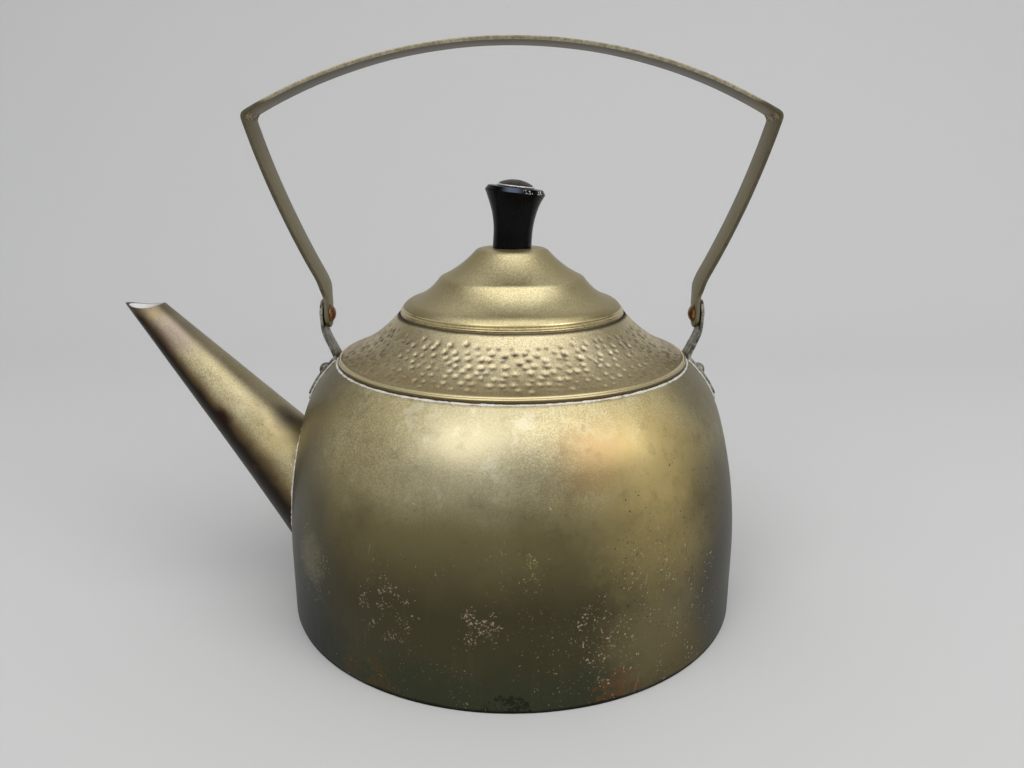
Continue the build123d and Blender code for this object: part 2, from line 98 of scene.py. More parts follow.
def cutWith(piece, cutter):
    useModifier(piece, "BOOLEAN", object=cutter, operation="DIFFERENCE", solver="EXACT")
    bpy.data.objects.remove(cutter)


mergeWithin = 0.01                                 # vertices closer than this become one
wallSlots = 3                                      # for the skin, the wall behind it and the rim
sharpFrom = 50                                     # edges that turn more than this are softened, in degrees


def tidyFaces(piece):
    editAll(piece)
    bpy.ops.mesh.remove_doubles(threshold=mergeWithin * mm)
    bpy.ops.mesh.normals_make_consistent(inside=False)
    leaveEdit()


def roughen(piece, size, depth):                   # slow unevenness of hand-worked metal, in mm
    clouds = bpy.data.textures.new("unevenness", "CLOUDS")
    clouds.noise_scale = size * mm
    clouds.noise_depth = 2
    useModifier(piece, "DISPLACE", texture=clouds, texture_coords="LOCAL", strength=depth * mm, mid_level=0.5)


def thicken(piece, wall, innerSlot=1, rimSlot=0):  # the wall grows behind the modelled skin
    while len(piece.data.materials) < wallSlots:   # without slots the whole wall gets number 0
        piece.data.materials.append(None)
    useModifier(piece, "SOLIDIFY", thickness=wall * mm, offset=-1, use_even_offset=True,
                material_offset=innerSlot, material_offset_rim=rimSlot)


def softEdges(piece, width):
    useModifier(piece, "BEVEL", width=width * mm, segments=2, limit_method="ANGLE",
                angle_limit=math.radians(sharpFrom))


def mirrorCopy(piece):                             # the same piece on the other side of the YZ plane
    twin = piece.copy()
    twin.data = piece.data.copy()
    bpy.context.collection.objects.link(twin)
    makeActive(twin)
    twin.scale.x = -1
    bpy.ops.object.transform_apply(location=False, rotation=False, scale=True)
    return twin


def joinTo(piece, other):
    makeActive(piece)
    other.select_set(True)
    bpy.ops.object.join()


def finishPiece(piece, name, body, finishes, node, smoothAngle=45):
    piece.name = name
    piece.data.name = name
    slots = [min(face.material_index, len(finishes) - 1) for face in piece.data.polygons]
    piece.data.materials.clear()
    for finish in finishes:
        piece.data.materials.append(finish)
    piece.data.polygons.foreach_set("material_index", slots)
    makeActive(piece)
    bpy.ops.object.shade_smooth_by_angle(angle=math.radians(smoothAngle))
    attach(piece, body)
    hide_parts(node)
    print("  ", name, len(piece.data.polygons), "faces")


# Lines in the XZ plane, in mm

def arcAbout(x, z, radius, fromAngle, toAngle, steps):
    angles = [fromAngle + (toAngle - fromAngle) * step / steps for step in range(steps + 1)]
    return [(x + radius * math.cos(angle), z + radius * math.sin(angle)) for angle in angles]


def arcBetween(first, last, bulge, steps):         # a positive bulge lies right of the way
    a, b = Vector(first), Vector(last)
    chord = b - a
    side = Vector((chord.y, -chord.x)).normalized()
    radius = (chord.length_squared / 4 + bulge * bulge) / (2 * bulge)
    centre = (a + b) / 2 + side * (bulge - radius)
    start = a - centre
    turn = start.angle_signed(b - centre)
    found = []
    for step in range(steps + 1):
        angle = -turn * step / steps
        found.append((centre.x + start.x * math.cos(angle) - start.y * math.sin(angle),
                      centre.y + start.x * math.sin(angle) + start.y * math.cos(angle)))
    return found


def arcLeaving(first, heading, last, steps):       # leaves the first point along its heading
    chord = Vector(last) - Vector(first)
    angle = chord.angle_signed(Vector(heading))    # clockwise, so positive to the right
    return arcBetween(first, last, chord.length / 2 * math.tan(angle / 2), steps)


def softCorner(before, corner, after, steps):      # a round where two stretches meet
    a, b, c = Vector(before), Vector(corner), Vector(after)
    return [tuple(a.lerp(b, s / steps).lerp(b.lerp(c, s / steps), s / steps)) for s in range(steps + 1)]


def roundCorner(line, corner, reach, steps=6):     # cuts a corner off a line and puts a round there
    away = [(Vector(point) - Vector(corner)).length for point in line]
    nearest = away.index(min(away))
    first = max(i for i in range(nearest) if away[i] > reach)
    last = min(i for i in range(nearest, len(line)) if away[i] > reach)
    before = Vector(corner).lerp(Vector(line[first]), reach / away[first])
    after = Vector(corner).lerp(Vector(line[last]), reach / away[last])
    return line[:first + 1] + softCorner(before, corner, after, steps) + line[last:]


def domeLine(radius, height, base, steps, up=1):   # a round head, from its edge to just short of its tip
    ball = (radius * radius + height * height) / (2 * height)
    edge = math.asin(min(1, radius / ball))
    angles = [edge * (1 - step / steps) for step in range(steps)]
    return [(ball * math.sin(angle), base + up * (ball * (math.cos(angle) - 1) + height)) for angle in angles]


# Shapes that several pieces start from

def ringStack(rings, sides, closeFirst=False, closeLast=False):   # (radius, height) rings, pulled up
    radius, height = rings[0]
    openClean()
    fill = "TRIFAN" if closeFirst else "NOTHING"
    bpy.ops.mesh.primitive_circle_add(vertices=sides, radius=radius * mm, fill_type=fill,
                                      location=(0, 0, height * mm))
    piece = bpy.context.object
    settle(piece)
    selectPoints(piece, lambda vertex: vertex.co.xy.length > radius * mm / 2)
    for nextRadius, nextHeight in rings[1:]:
        bpy.ops.mesh.extrude_region_move(
            TRANSFORM_OT_translate={"value": (0, 0, (nextHeight - height) * mm)})
        grow = nextRadius / radius
        bpy.ops.transform.resize(value=(grow, grow, 1), center_override=(0, 0, nextHeight * mm))
        radius, height = nextRadius, nextHeight
    if closeLast:
        bpy.ops.mesh.edge_face_add()
        bpy.ops.mesh.poke()
    leaveEdit()
    tidyFaces(piece)
    return piece


def bandAlong(rows, faceUp):                       # (x, z, half width) rows of a strip, pulled on one by one
    x, z, half = rows[0]
    openClean()
    bpy.ops.mesh.primitive_plane_add(size=2 * half * mm, location=((x + half) * mm, 0, z * mm))
    piece = bpy.context.object
    settle(piece)
    selectPoints(piece, lambda vertex: vertex.co.x > (x + half) * mm)
    bpy.ops.mesh.delete(type="VERT")
    bpy.ops.mesh.select_all(action="SELECT")
    for nextX, nextZ, nextHalf in rows[1:]:
        bpy.ops.mesh.extrude_region_move(
            TRANSFORM_OT_translate={"value": ((nextX - x) * mm, 0, (nextZ - z) * mm)})
        bpy.ops.transform.resize(value=(1, nextHalf / half, 1), center_override=(nextX * mm, 0, nextZ * mm))
        x, z, half = nextX, nextZ, nextHalf
    bpy.ops.mesh.select_all(action="SELECT")
    bpy.ops.mesh.normals_make_consistent(inside=False)
    leaveEdit()
    middle = piece.data.polygons[len(piece.data.polygons) // 2]
    if middle.normal.dot(Vector(faceUp)) < 0:
        editAll(piece)
        bpy.ops.mesh.flip_normals()
        leaveEdit()
    return piece


def loopOf(points):                                # a closed wire through points, from a circle of as many
    openClean()
    bpy.ops.mesh.primitive_circle_add(vertices=len(points), fill_type="NOTHING")
    piece = bpy.context.object
    for vertex, point in zip(piece.data.vertices, points):
        vertex.co = Vector(point) * mm
    return piece


def beadAlong(points, thickness, unevenness, seed):   # a closed run of solder, thick and thin
    piece = loopOf(points)
    makeActive(piece)
    bpy.ops.object.convert(target="CURVE")
    piece = bpy.context.object
    piece.data.bevel_depth = thickness * mm
    piece.data.bevel_resolution = 2
    dice = random.Random(seed)
    for point in piece.data.splines[0].points:
        point.radius = 1 + unevenness * (dice.random() - 0.5)
    bpy.ops.object.convert(target="MESH")
    piece = bpy.context.object
    roughen(piece, 3 * thickness, thickness / 2)
    tidyFaces(piece)
    return piece


def slabOf(outline, halfDepth, slices):            # an outline in the XZ plane, pulled along Y
    piece = loopOf([(x, -halfDepth, z) for x, z in outline])
    editAll(piece)
    bpy.ops.mesh.edge_face_add()
    for _ in range(slices):
        bpy.ops.mesh.extrude_region_move(
            TRANSFORM_OT_translate={"value": (0, 2 * halfDepth / slices * mm, 0)})
    leaveEdit()
    tidyFaces(piece)
    return piece


# Node helpers

def screenColour(red, green, blue):                # a colour as it looks on screen, 0 to 255
    found = []
    for value in (red, green, blue):
        value /= 255
        found.append(value / 12.92 if value <= 0.04045 else ((value + 0.055) / 1.055) ** 2.4)
    return (*found, 1)


def addNode(tree, kind, inputs=(), **options):
    node = tree.nodes.new("ShaderNode" + kind)
    for key, value in options.items():
        setattr(node, key, value)
    for key, value in dict(inputs).items():
        if isinstance(value, bpy.types.NodeSocket):
            tree.links.new(value, node.inputs[key])
        else:
            node.inputs[key].default_value = value
    return node


def calc(tree, operation, first, second=0.0):
    return addNode(tree, "Math", {0: first, 1: second}, operation=operation).outputs[0]


def ramp(tree, value, low, high, out=(0.0, 1.0)):
    node = addNode(tree, "MapRange", {0: value, 1: low, 2: high, 3: out[0], 4: out[1]},
                   interpolation_type="SMOOTHSTEP")
    return node.outputs[0]


def blend(tree, mask, under, over, kind="RGBA"):
    first, second, result = (6, 7, 2) if kind == "RGBA" else (2, 3, 0)
    return addNode(tree, "Mix", {0: mask, first: under, second: over}, data_type=kind).outputs[result]


def newGroup(name, takes, gives):
    group = bpy.data.node_groups.new(name, "ShaderNodeTree")
    for label, kind, value in takes:
        socket = group.interface.new_socket(name=label, in_out="INPUT", socket_type="NodeSocket" + kind)
        socket.default_value = value
    for label, kind in gives:
        group.interface.new_socket(name=label, in_out="OUTPUT", socket_type="NodeSocket" + kind)
    return group, group.nodes.new("NodeGroupInput").outputs, group.nodes.new("NodeGroupOutput").inputs


where = ("Vector", "Vector", (0.0, 0.0, 0.0))      # the place on the piece, which every group takes


def maskGroup(name, **values):                     # a group that turns a place on the piece into a mask
    takes = [(label.title(), "Vector" if isinstance(value, tuple) else "Float", value)
             for label, value in values.items()]
    return newGroup(name, [where] + takes + [("Strength", "Float", 1.0)], [("Mask", "Float")])


def giveMask(tree, mask, takes, gives):
    tree.links.new(calc(tree, "MULTIPLY", mask, takes["Strength"]), gives["Mask"])


def noiseOf(tree, vector, scale, detail, roughness=0.5):
    return addNode(tree, "TexNoise", {"Vector": vector, "Scale": scale, "Detail": detail,
                                      "Roughness": roughness}).outputs[0]


def waverOf(tree, takes, scale, detail, roughness=0.5):   # noise about zero, as wide as the group's Waver
    noise = noiseOf(tree, takes["Vector"], scale, detail, roughness)
    return calc(tree, "MULTIPLY", calc(tree, "SUBTRACT", noise, 0.5), takes["Waver"])


def scaleFor(tree, size):                          # a pattern's scale from its size in mm
    return calc(tree, "DIVIDE", 1 / mm, size)


def measure(tree, operation, first, second):       # a number out of two vectors
    return addNode(tree, "VectorMath", {0: first, 1: second}, operation=operation).outputs["Value"]


def inMm(tree, takes):
    return addNode(tree, "VectorMath", {0: takes["Vector"], 3: 1 / mm}, operation="SCALE").outputs[0]


def splitLevel(tree, takes):                       # the place's three parts, and the place without its height
    parts = addNode(tree, "SeparateXYZ", {0: takes["Vector"]}).outputs
    return parts, addNode(tree, "CombineXYZ", {0: parts[0], 1: parts[1]}).outputs[0]


# patches: soft clouds of tarnish
patches, takes, gives = maskGroup("patches", size=20.0, threshold=0.5, softness=0.15)
noise = noiseOf(patches, takes["Vector"], scaleFor(patches, takes["Size"]), 6.0, 0.62)
edge = calc(patches, "ADD", takes["Threshold"], takes["Softness"])
giveMask(patches, ramp(patches, noise, takes["Threshold"], edge), takes, gives)

# flecks: small ragged specks that crowd together, near one place or anywhere
flecks, takes, gives = maskGroup("flecks", size=1.0, cut=0.62, crowding=15.0, threshold=0.5,
                                 place=(0.0, 0.0, 0.0), reach=1000.0)
fine = noiseOf(flecks, takes["Vector"], scaleFor(flecks, takes["Size"]), 3.0, 0.7)
crowd = noiseOf(flecks, takes["Vector"], scaleFor(flecks, takes["Crowding"]), 3.0)
here = ramp(flecks, crowd, takes["Threshold"], calc(flecks, "ADD", takes["Threshold"], 0.14))
away = measure(flecks, "DISTANCE", inMm(flecks, takes), takes["Place"])
near = ramp(flecks, away, takes["Reach"], calc(flecks, "MULTIPLY", takes["Reach"], 0.7))
missing = calc(flecks, "SUBTRACT", 1.0, calc(flecks, "MULTIPLY", here, near))
level = calc(flecks, "SUBTRACT", fine, calc(flecks, "MULTIPLY", missing, 0.3))
mask = ramp(flecks, level, takes["Cut"], calc(flecks, "ADD", takes["Cut"], 0.04))
giveMask(flecks, mask, takes, gives)

# heights: a change from a low height to a high one, with a wavering edge
heights, takes, gives = maskGroup("heights", low=0.0, high=100.0, waver=10.0)
height = addNode(heights, "SeparateXYZ", {0: takes["Vector"]}).outputs[2]
height = calc(heights, "ADD", calc(heights, "DIVIDE", height, mm), waverOf(heights, takes, 45.0, 5.0))
giveMask(heights, ramp(heights, height, takes["Low"], takes["High"]), takes, gives)

# spot: one ragged patch at a place
spot, takes, gives = maskGroup("spot", place=(0.0, 0.0, 0.0), reach=10.0, waver=5.0, solid=0.2)
away = measure(spot, "DISTANCE", inMm(spot, takes), takes["Place"])
away = calc(spot, "ADD", away, waverOf(spot, takes, 140.0, 6.0, 0.7))
inner = calc(spot, "MULTIPLY", takes["Reach"], takes["Solid"])
giveMask(spot, ramp(spot, away, takes["Reach"], inner), takes, gives)

# streaks: brushed or wiped lines that run up and down a round piece
streaks, takes, gives = maskGroup("streaks", width=1.0, length=30.0, threshold=0.55, softness=0.1)
parts, level = splitLevel(streaks, takes)
across = calc(streaks, "DIVIDE", 90.0, takes["Width"])   # a round of about 90 mm
outward = addNode(streaks, "VectorMath", {0: level}, operation="NORMALIZE").outputs[0]
around = addNode(streaks, "VectorMath", {0: outward, 3: across}, operation="SCALE").outputs[0]
height = calc(streaks, "DIVIDE", calc(streaks, "DIVIDE", parts[2], mm), takes["Length"])
along = addNode(streaks, "CombineXYZ", {2: height}).outputs[0]
both = addNode(streaks, "VectorMath", {0: around, 1: along}, operation="ADD").outputs[0]
edge = calc(streaks, "ADD", takes["Threshold"], takes["Softness"])
mask = ramp(streaks, noiseOf(streaks, both, 1.0, 3.0), takes["Threshold"], edge)
giveMask(streaks, mask, takes, gives)

# flanks: the left and right sides of a round piece
flanks, takes, gives = maskGroup("flanks", low=0.7, high=1.0, waver=0.2)
parts, level = splitLevel(flanks, takes)
reach = addNode(flanks, "VectorMath", {0: level}, operation="LENGTH").outputs["Value"]
sideways = calc(flanks, "DIVIDE", calc(flanks, "ABSOLUTE", parts[0]), reach)
sideways = calc(flanks, "ADD", sideways, waverOf(flanks, takes, 30.0, 4.0))
giveMask(flanks, ramp(flanks, sideways, takes["Low"], takes["High"]), takes, gives)

# belly: one side of a slanting cone, told by how far it lies from the cone's own line
belly, takes, gives = maskGroup("belly", place=(0.0, 0.0, 0.0), along=(0.0, 0.0, 1.0), up=(1.0, 0.0, 0.0),
                                radius=10.0, taper=0.1, low=0.0, high=-0.5, waver=0.3)
fromPlace = addNode(belly, "VectorMath", {0: inMm(belly, takes), 1: takes["Place"]},
                    operation="SUBTRACT").outputs[0]
along = measure(belly, "DOT_PRODUCT", fromPlace, takes["Along"])
up = measure(belly, "DOT_PRODUCT", fromPlace, takes["Up"])
radius = calc(belly, "SUBTRACT", takes["Radius"], calc(belly, "MULTIPLY", along, takes["Taper"]))
side = calc(belly, "ADD", calc(belly, "DIVIDE", up, radius), waverOf(belly, takes, 70.0, 5.0))
giveMask(belly, ramp(belly, side, takes["Low"], takes["High"]), takes, gives)

# scratches: hair-thin lines here and there
scratches, takes, gives = maskGroup("scratches", spacing=8.0, width=0.02, threshold=0.55)
scale = scaleFor(scratches, takes["Spacing"])
turned = addNode(scratches, "Mapping", {"Vector": takes["Vector"], "Rotation": (0.4, 0.9, 0.3),
                                        "Scale": (1, 1, 0.35)}).outputs[0]
cells = addNode(scratches, "TexVoronoi", {"Vector": turned, "Scale": scale}, feature="DISTANCE_TO_EDGE")
line = ramp(scratches, cells.outputs["Distance"], takes["Width"], 0.0)
there = noiseOf(scratches, takes["Vector"], calc(scratches, "MULTIPLY", scale, 2.0), 2.0)
there = ramp(scratches, there, takes["Threshold"], calc(scratches, "ADD", takes["Threshold"], 0.08))
giveMask(scratches, calc(scratches, "MULTIPLY", line, there), takes, gives)

# grain: the fine tooth of a satin skin, as a height and as a tone
fineShare = 0.78                                   # the rest of the tone is slow mottling
grain, takes, gives = newGroup(
    "grain", [where, ("Size", "Float", 0.5), ("Stretch", "Vector", (1.0, 1.0, 1.0))],
    [("Height", "Float"), ("Tone", "Float")])
stretched = addNode(grain, "VectorMath", {0: takes["Vector"], 1: takes["Stretch"]},
                    operation="MULTIPLY").outputs[0]
fine = noiseOf(grain, stretched, scaleFor(grain, takes["Size"]), 4.0, 0.7)
broad = noiseOf(grain, takes["Vector"], 60.0, 4.0)
tone = calc(grain, "ADD", calc(grain, "MULTIPLY", fine, fineShare),
            calc(grain, "MULTIPLY", broad, 1 - fineShare))
grain.links.new(fine, gives["Height"])
grain.links.new(tone, gives["Tone"])


def coat(group, over, rough=None, **values):       # one layer of a finish, with its group's own values
    return group, over, rough, values


def metalFinish(name, look, coats):
    material = bpy.data.materials.new(name)
    material.use_nodes = True
    tree = material.node_tree
    shader = tree.nodes["Principled BSDF"]
    shader.inputs["Metallic"].default_value = look.get("metallic", 1.0)
    shader.inputs["Specular IOR Level"].default_value = look.get("specular", 0.5)
    onPiece = addNode(tree, "TexCoord").outputs["Object"]
    tooth = addNode(tree, "Group", node_tree=grain)
    tree.links.new(onPiece, tooth.inputs["Vector"])
    tooth.inputs["Size"].default_value = look["grainSize"]
    tooth.inputs["Stretch"].default_value = look.get("grainStretch", (1, 1, 1))
    low, high = look.get("toneRange", (0.3, 0.7))
    tone = ramp(tree, tooth.outputs["Tone"], low, high)
    colour = blend(tree, tone, screenColour(*look["dark"]), screenColour(*look["light"]))
    rough = ramp(tree, tooth.outputs["Tone"], low, high, look["roughness"])
    for group, over, overRough, values in coats:
        layer = addNode(tree, "Group", node_tree=group)
        tree.links.new(onPiece, layer.inputs["Vector"])
        for key, value in values.items():
            layer.inputs[key.title()].default_value = value
        colour = blend(tree, layer.outputs["Mask"], colour, screenColour(*over))
        if overRough is not None:
            rough = blend(tree, layer.outputs["Mask"], rough, overRough, "FLOAT")
    if "hollows" in look:                          # the mesh carries how dark its hammer marks are painted as an attribute: tarnish in the hollows and painted shade below each mark
        marks = addNode(tree, "Attribute", attribute_name="hollow").outputs["Fac"]
        colour = blend(tree, calc(tree, "MULTIPLY", marks, look["hollowStrength"]), colour,
                       screenColour(*look["hollows"]))
    tree.links.new(colour, shader.inputs["Base Color"])
    tree.links.new(rough, shader.inputs["Roughness"])
    bump = addNode(tree, "Bump", {"Height": tooth.outputs["Height"], "Strength": look["bump"],
                                  "Distance": look.get("bumpDepth", 0.05) * mm})
    tree.links.new(bump.outputs[0], shader.inputs["Normal"])
    return material


# Finishes, with colours as they look on screen and places and sizes in mm

satin = {"toneRange": (0.38, 0.62), "grainSize": 0.55, "bump": 0.5, "bumpDepth": 0.08}

drumBrass = metalFinish("drumBrass", {
    **satin, "light": (238, 224, 178), "dark": (184, 168, 121), "roughness": (0.36, 0.48)}, [
    # tarnish, painted highlights and painted shade, from the shoulder down to the foot
    coat(patches, size=36, threshold=0.46, softness=0.22, strength=0.35, over=(196, 176, 120)),
    # painted highlight: paler, whiter brass where the broad highlight sits
    coat(spot, place=(-14, -84, 86), reach=42, waver=30, strength=0.55, over=(206, 198, 168)),
    coat(patches, size=9, threshold=0.56, softness=0.1, strength=0.35, over=(246, 240, 214)),
    # painted highlight: a golden bright patch on the right of the shoulder
    coat(spot, place=(55, -68, 80), reach=38, waver=26, strength=0.6, over=(244, 216, 142)),
    coat(spot, place=(29, -82, 87), reach=23, waver=20, strength=0.7, over=(174, 137, 90)),
    # painted reflection: a darker patch in the middle of the front, as if something dark stood before it
    coat(spot, place=(12, -88, 74), reach=24, waver=16, strength=0.3, over=(120, 112, 84)),
    # painted shade: the drum darkens towards the bottom, as if a dark table below were mirrored in it
    coat(heights, low=88, high=60, waver=10, strength=0.96, over=(126, 116, 80), rough=0.44),
    coat(heights, low=68, high=34, waver=14, strength=0.9, over=(70, 66, 48), rough=0.42),
    # painted light: the right of the front is lighter at mid height
    coat(spot, place=(55, -73, 61), reach=40, waver=28, strength=0.72, over=(166, 148, 98)),
    # painted highlight: more golden brightness on the right
    coat(spot, place=(55, -73, 80), reach=26, waver=22, strength=0.45, over=(234, 208, 140)),
    coat(patches, size=40, threshold=0.5, softness=0.2, strength=0.25, over=(66, 54, 34)),
    # painted reflection: a darker, greener bottom band, as if a dark blue table were mirrored in it
    coat(heights, low=24, high=6, waver=16, strength=0.7, over=(62, 70, 54), rough=0.45),
    # painted light: the lower right is lighter
    coat(spot, place=(50, -77, 22), reach=32, waver=20, strength=0.8, over=(126, 115, 82)),
    # painted shade: the left and right sides are darker
    coat(flanks, low=0.63, high=0.94, waver=0.3, strength=0.68, over=(66, 62, 52)),
    coat(spot, place=(84, -40, 24), reach=42, waver=20, strength=0.55, over=(44, 41, 36)),
    coat(spot, place=(-78, -50, 12), reach=38, waver=18, strength=0.8, over=(36, 38, 31)),
    coat(spot, place=(-74, -55, 38), reach=13, waver=18, strength=0.35, over=(150, 142, 108)),
    coat(patches, size=5, threshold=0.54, softness=0.15, strength=0.16, over=(92, 84, 64), rough=0.52),
    coat(streaks, width=2.4, length=30, threshold=0.54, softness=0.24, strength=0.1,
         over=(112, 104, 80), rough=0.38),
    # rust, brown and moss along the base
    coat(spot, place=(62, -68, 4), reach=24, waver=20, strength=0.45, over=(116, 98, 56), rough=0.5),
    coat(flecks, size=2.0, cut=0.46, crowding=8, threshold=0.3, place=(36, -86, 2), reach=13,
         strength=0.42, over=(136, 82, 50), rough=0.5),
    coat(flecks, size=2.4, cut=0.46, crowding=10, threshold=0.3, place=(-50, -77, 1), reach=16,
         strength=0.4, over=(104, 76, 38), rough=0.5),
    coat(flecks, size=1.8, cut=0.48, crowding=6, threshold=0.28, place=(-2, -92, -2), reach=12,
         strength=0.55, over=(22, 26, 16), rough=0.6),
    # crowds of worn pale flecks, then single ones
    coat(flecks, size=0.95, cut=0.56, crowding=4.5, threshold=0.42, place=(-42, -82, 33), reach=16,
         strength=0.8, over=(190, 166, 150), rough=0.6),
    coat(flecks, size=0.95, cut=0.55, crowding=4.5, threshold=0.42, place=(-9.5, -92, 32), reach=11,
         strength=0.8, over=(192, 168, 150), rough=0.6),
    coat(flecks, size=0.95, cut=0.57, crowding=5, threshold=0.44, place=(29, -88, 27), reach=14,
         strength=0.85, over=(196, 178, 158), rough=0.6),
    coat(flecks, size=0.9, cut=0.57, crowding=4, threshold=0.44, place=(6, -92, 53), reach=7,
         strength=0.7, over=(190, 172, 120), rough=0.6),
    coat(flecks, size=1.1, cut=0.62, crowding=7, threshold=0.4, place=(52, -76, 26), reach=44,
         strength=0.9, over=(206, 194, 168), rough=0.6),
    coat(flecks, size=1.0, cut=0.6, crowding=6, threshold=0.4, place=(-74, -55, 35), reach=20,
         strength=0.7, over=(178, 170, 142), rough=0.6),
    coat(flecks, size=0.9, cut=0.65, crowding=16, threshold=0.36, place=(6, -92, 26), reach=84,
         strength=0.75, over=(184, 168, 140), rough=0.6),
    # dark pits on the right, then pits, chips and scratches all over
    coat(flecks, size=1.0, cut=0.63, crowding=9, threshold=0.36, place=(64, -66, 50), reach=48,
         strength=0.95, over=(20, 18, 12), rough=0.65),
    coat(flecks, size=1.4, cut=0.68, crowding=30, threshold=0.44, strength=0.7,
         over=(40, 36, 26), rough=0.6),
    coat(flecks, size=1.8, cut=0.7, crowding=24, threshold=0.46, strength=0.85,
         over=(232, 224, 200), rough=0.5),
    coat(scratches, spacing=26, width=0.008, threshold=0.62, strength=0.25,
         over=(200, 192, 164), rough=0.35),
    # painted shade: a dark band along the foot, where the drum meets the floor
    coat(heights, low=1.8, high=0.5, waver=2, strength=0.9, over=(22, 20, 15), rough=0.6),
])
collarBrass = metalFinish("collarBrass", {
    **satin, "light": (238, 224, 186), "dark": (190, 174, 132), "roughness": (0.32, 0.44),
    # hollows: purple-grey tarnish in the hammer marks, together with painted shade below them
    "hollows": (70, 64, 74), "hollowStrength": 1.0}, [
    coat(patches, size=18, threshold=0.5, softness=0.2, strength=0.3, over=(160, 138, 92)),
    coat(heights, low=110, high=103.6, waver=3, strength=0.5, over=(154, 130, 82)),
    coat(flecks, size=1.6, cut=0.62, crowding=10, threshold=0.5, strength=0.6, over=(92, 80, 58), rough=0.5),
    # painted highlight: a bright line along the top of the bead
    coat(heights, low=103.4, high=103.1, waver=0.1, strength=1, over=(232, 216, 166), rough=0.26),
    # painted shade: the sides are darker, the bead too
    coat(flanks, low=0.5, high=1, waver=0.3, strength=0.15, over=(132, 124, 104)),
    # painted shade: dark under the bead
    coat(heights, low=102.9, high=102.2, waver=0.3, strength=0.86, over=(82, 66, 40), rough=0.5),
    # dark dirt, and painted shade in the gap under the mouth ring
    coat(heights, low=118.4, high=119.3, waver=1.2, strength=0.85, over=(44, 36, 24), rough=0.7),
])
lidBrass = metalFinish("lidBrass", {
    **satin, "light": (242, 230, 186), "dark": (202, 186, 136), "roughness": (0.37, 0.46)}, [
    coat(patches, size=24, threshold=0.48, softness=0.22, strength=0.3, over=(200, 180, 122)),
    # painted shade: the left and right sides are darker
    coat(flanks, low=0.45, high=0.95, waver=0.3, strength=0.6, over=(132, 114, 72)),
    # painted shade: the rim roll is darker
    coat(heights, low=126.6, high=124, waver=0.6, strength=0.25, over=(140, 122, 78)),
    # painted highlight: a thin bright line along the bottom edge
    coat(heights, low=122.3, high=122, waver=0.1, strength=1, over=(240, 226, 178), rough=0.25),
    coat(flecks, size=1.8, cut=0.66, crowding=16, threshold=0.52, strength=0.5,
         over=(96, 84, 56), rough=0.5),
    coat(flecks, size=2.0, cut=0.68, crowding=20, threshold=0.5, strength=0.85,
         over=(244, 236, 208), rough=0.5),
])
ringBrass = metalFinish("ringBrass", {
    "light": (236, 222, 180), "dark": (188, 172, 128), "roughness": (0.26, 0.38), "grainSize": 0.8,
    "bump": 0.4}, [
    coat(patches, size=3, threshold=0.54, softness=0.2, strength=0.5, over=(120, 108, 82), rough=0.5),
    # painted shade: the lowest bead is dark, like the gap under it
    coat(heights, low=120, high=119.4, waver=0.6, strength=0.8, over=(58, 48, 32), rough=0.7),
])

spoutLean = 50.5                                   # degrees above level
spoutCos, spoutSin = math.cos(math.radians(spoutLean)), math.sin(math.radians(spoutLean))
spoutSide = {"place": (-92.5, 0, 53.5), "along": (-spoutCos, 0, spoutSin), "up": (spoutSin, 0, spoutCos),
             "radius": 17.7, "taper": 0.135}
spoutBrass = metalFinish("spoutBrass", {
    **satin, "light": (236, 222, 180), "dark": (190, 174, 130), "roughness": (0.36, 0.46)}, [
    coat(patches, size=16, threshold=0.52, softness=0.2, strength=0.3, over=(170, 150, 104)),
    coat(heights, low=98, high=114, waver=14, strength=0.4, over=(160, 146, 142)),
    # painted highlight: a golden bright patch near the root
    coat(spot, place=(-93, -12, 71), reach=16, waver=10, strength=0.5, over=(240, 218, 152)),
    # painted shade: the upper side is darker
    coat(belly, low=0.35, high=0.95, waver=0.3, strength=0.6, over=(116, 108, 88), **spoutSide),
    coat(spot, place=(-92, -7, 77), reach=9, waver=6, strength=0.7, over=(92, 86, 84)),
    coat(spot, place=(-136, -8, 110), reach=12, waver=14, strength=0.35, over=(154, 132, 138)),
    # painted reflection: the underside darkens to brown, then near black, as if a dark table were mirrored in
    # it
    coat(belly, low=0.3, high=-0.15, waver=0.45, strength=0.85, over=(98, 74, 46), rough=0.42, **spoutSide),
    coat(belly, low=0.02, high=-0.4, waver=0.35, strength=0.95, over=(26, 20, 16), rough=0.42, **spoutSide),
    coat(patches, size=9, threshold=0.56, softness=0.12, strength=0.25, over=(104, 66, 50)),
    coat(spot, place=(-149, 0, 111), reach=13, waver=8, strength=0.9, over=(30, 27, 26), rough=0.4),
    coat(spot, place=(-117, -12.4, 78), reach=5.5, waver=4, strength=0.85, over=(44, 26, 22), rough=0.45),
    coat(heights, low=117, high=121, waver=2, strength=0.5, over=(116, 100, 82)),
    # painted highlight: a small bright patch near the tip
    coat(spot, place=(-143.5, -5.6, 119), reach=3, waver=4, strength=0.45, over=(204, 176, 122), rough=0.4),
])

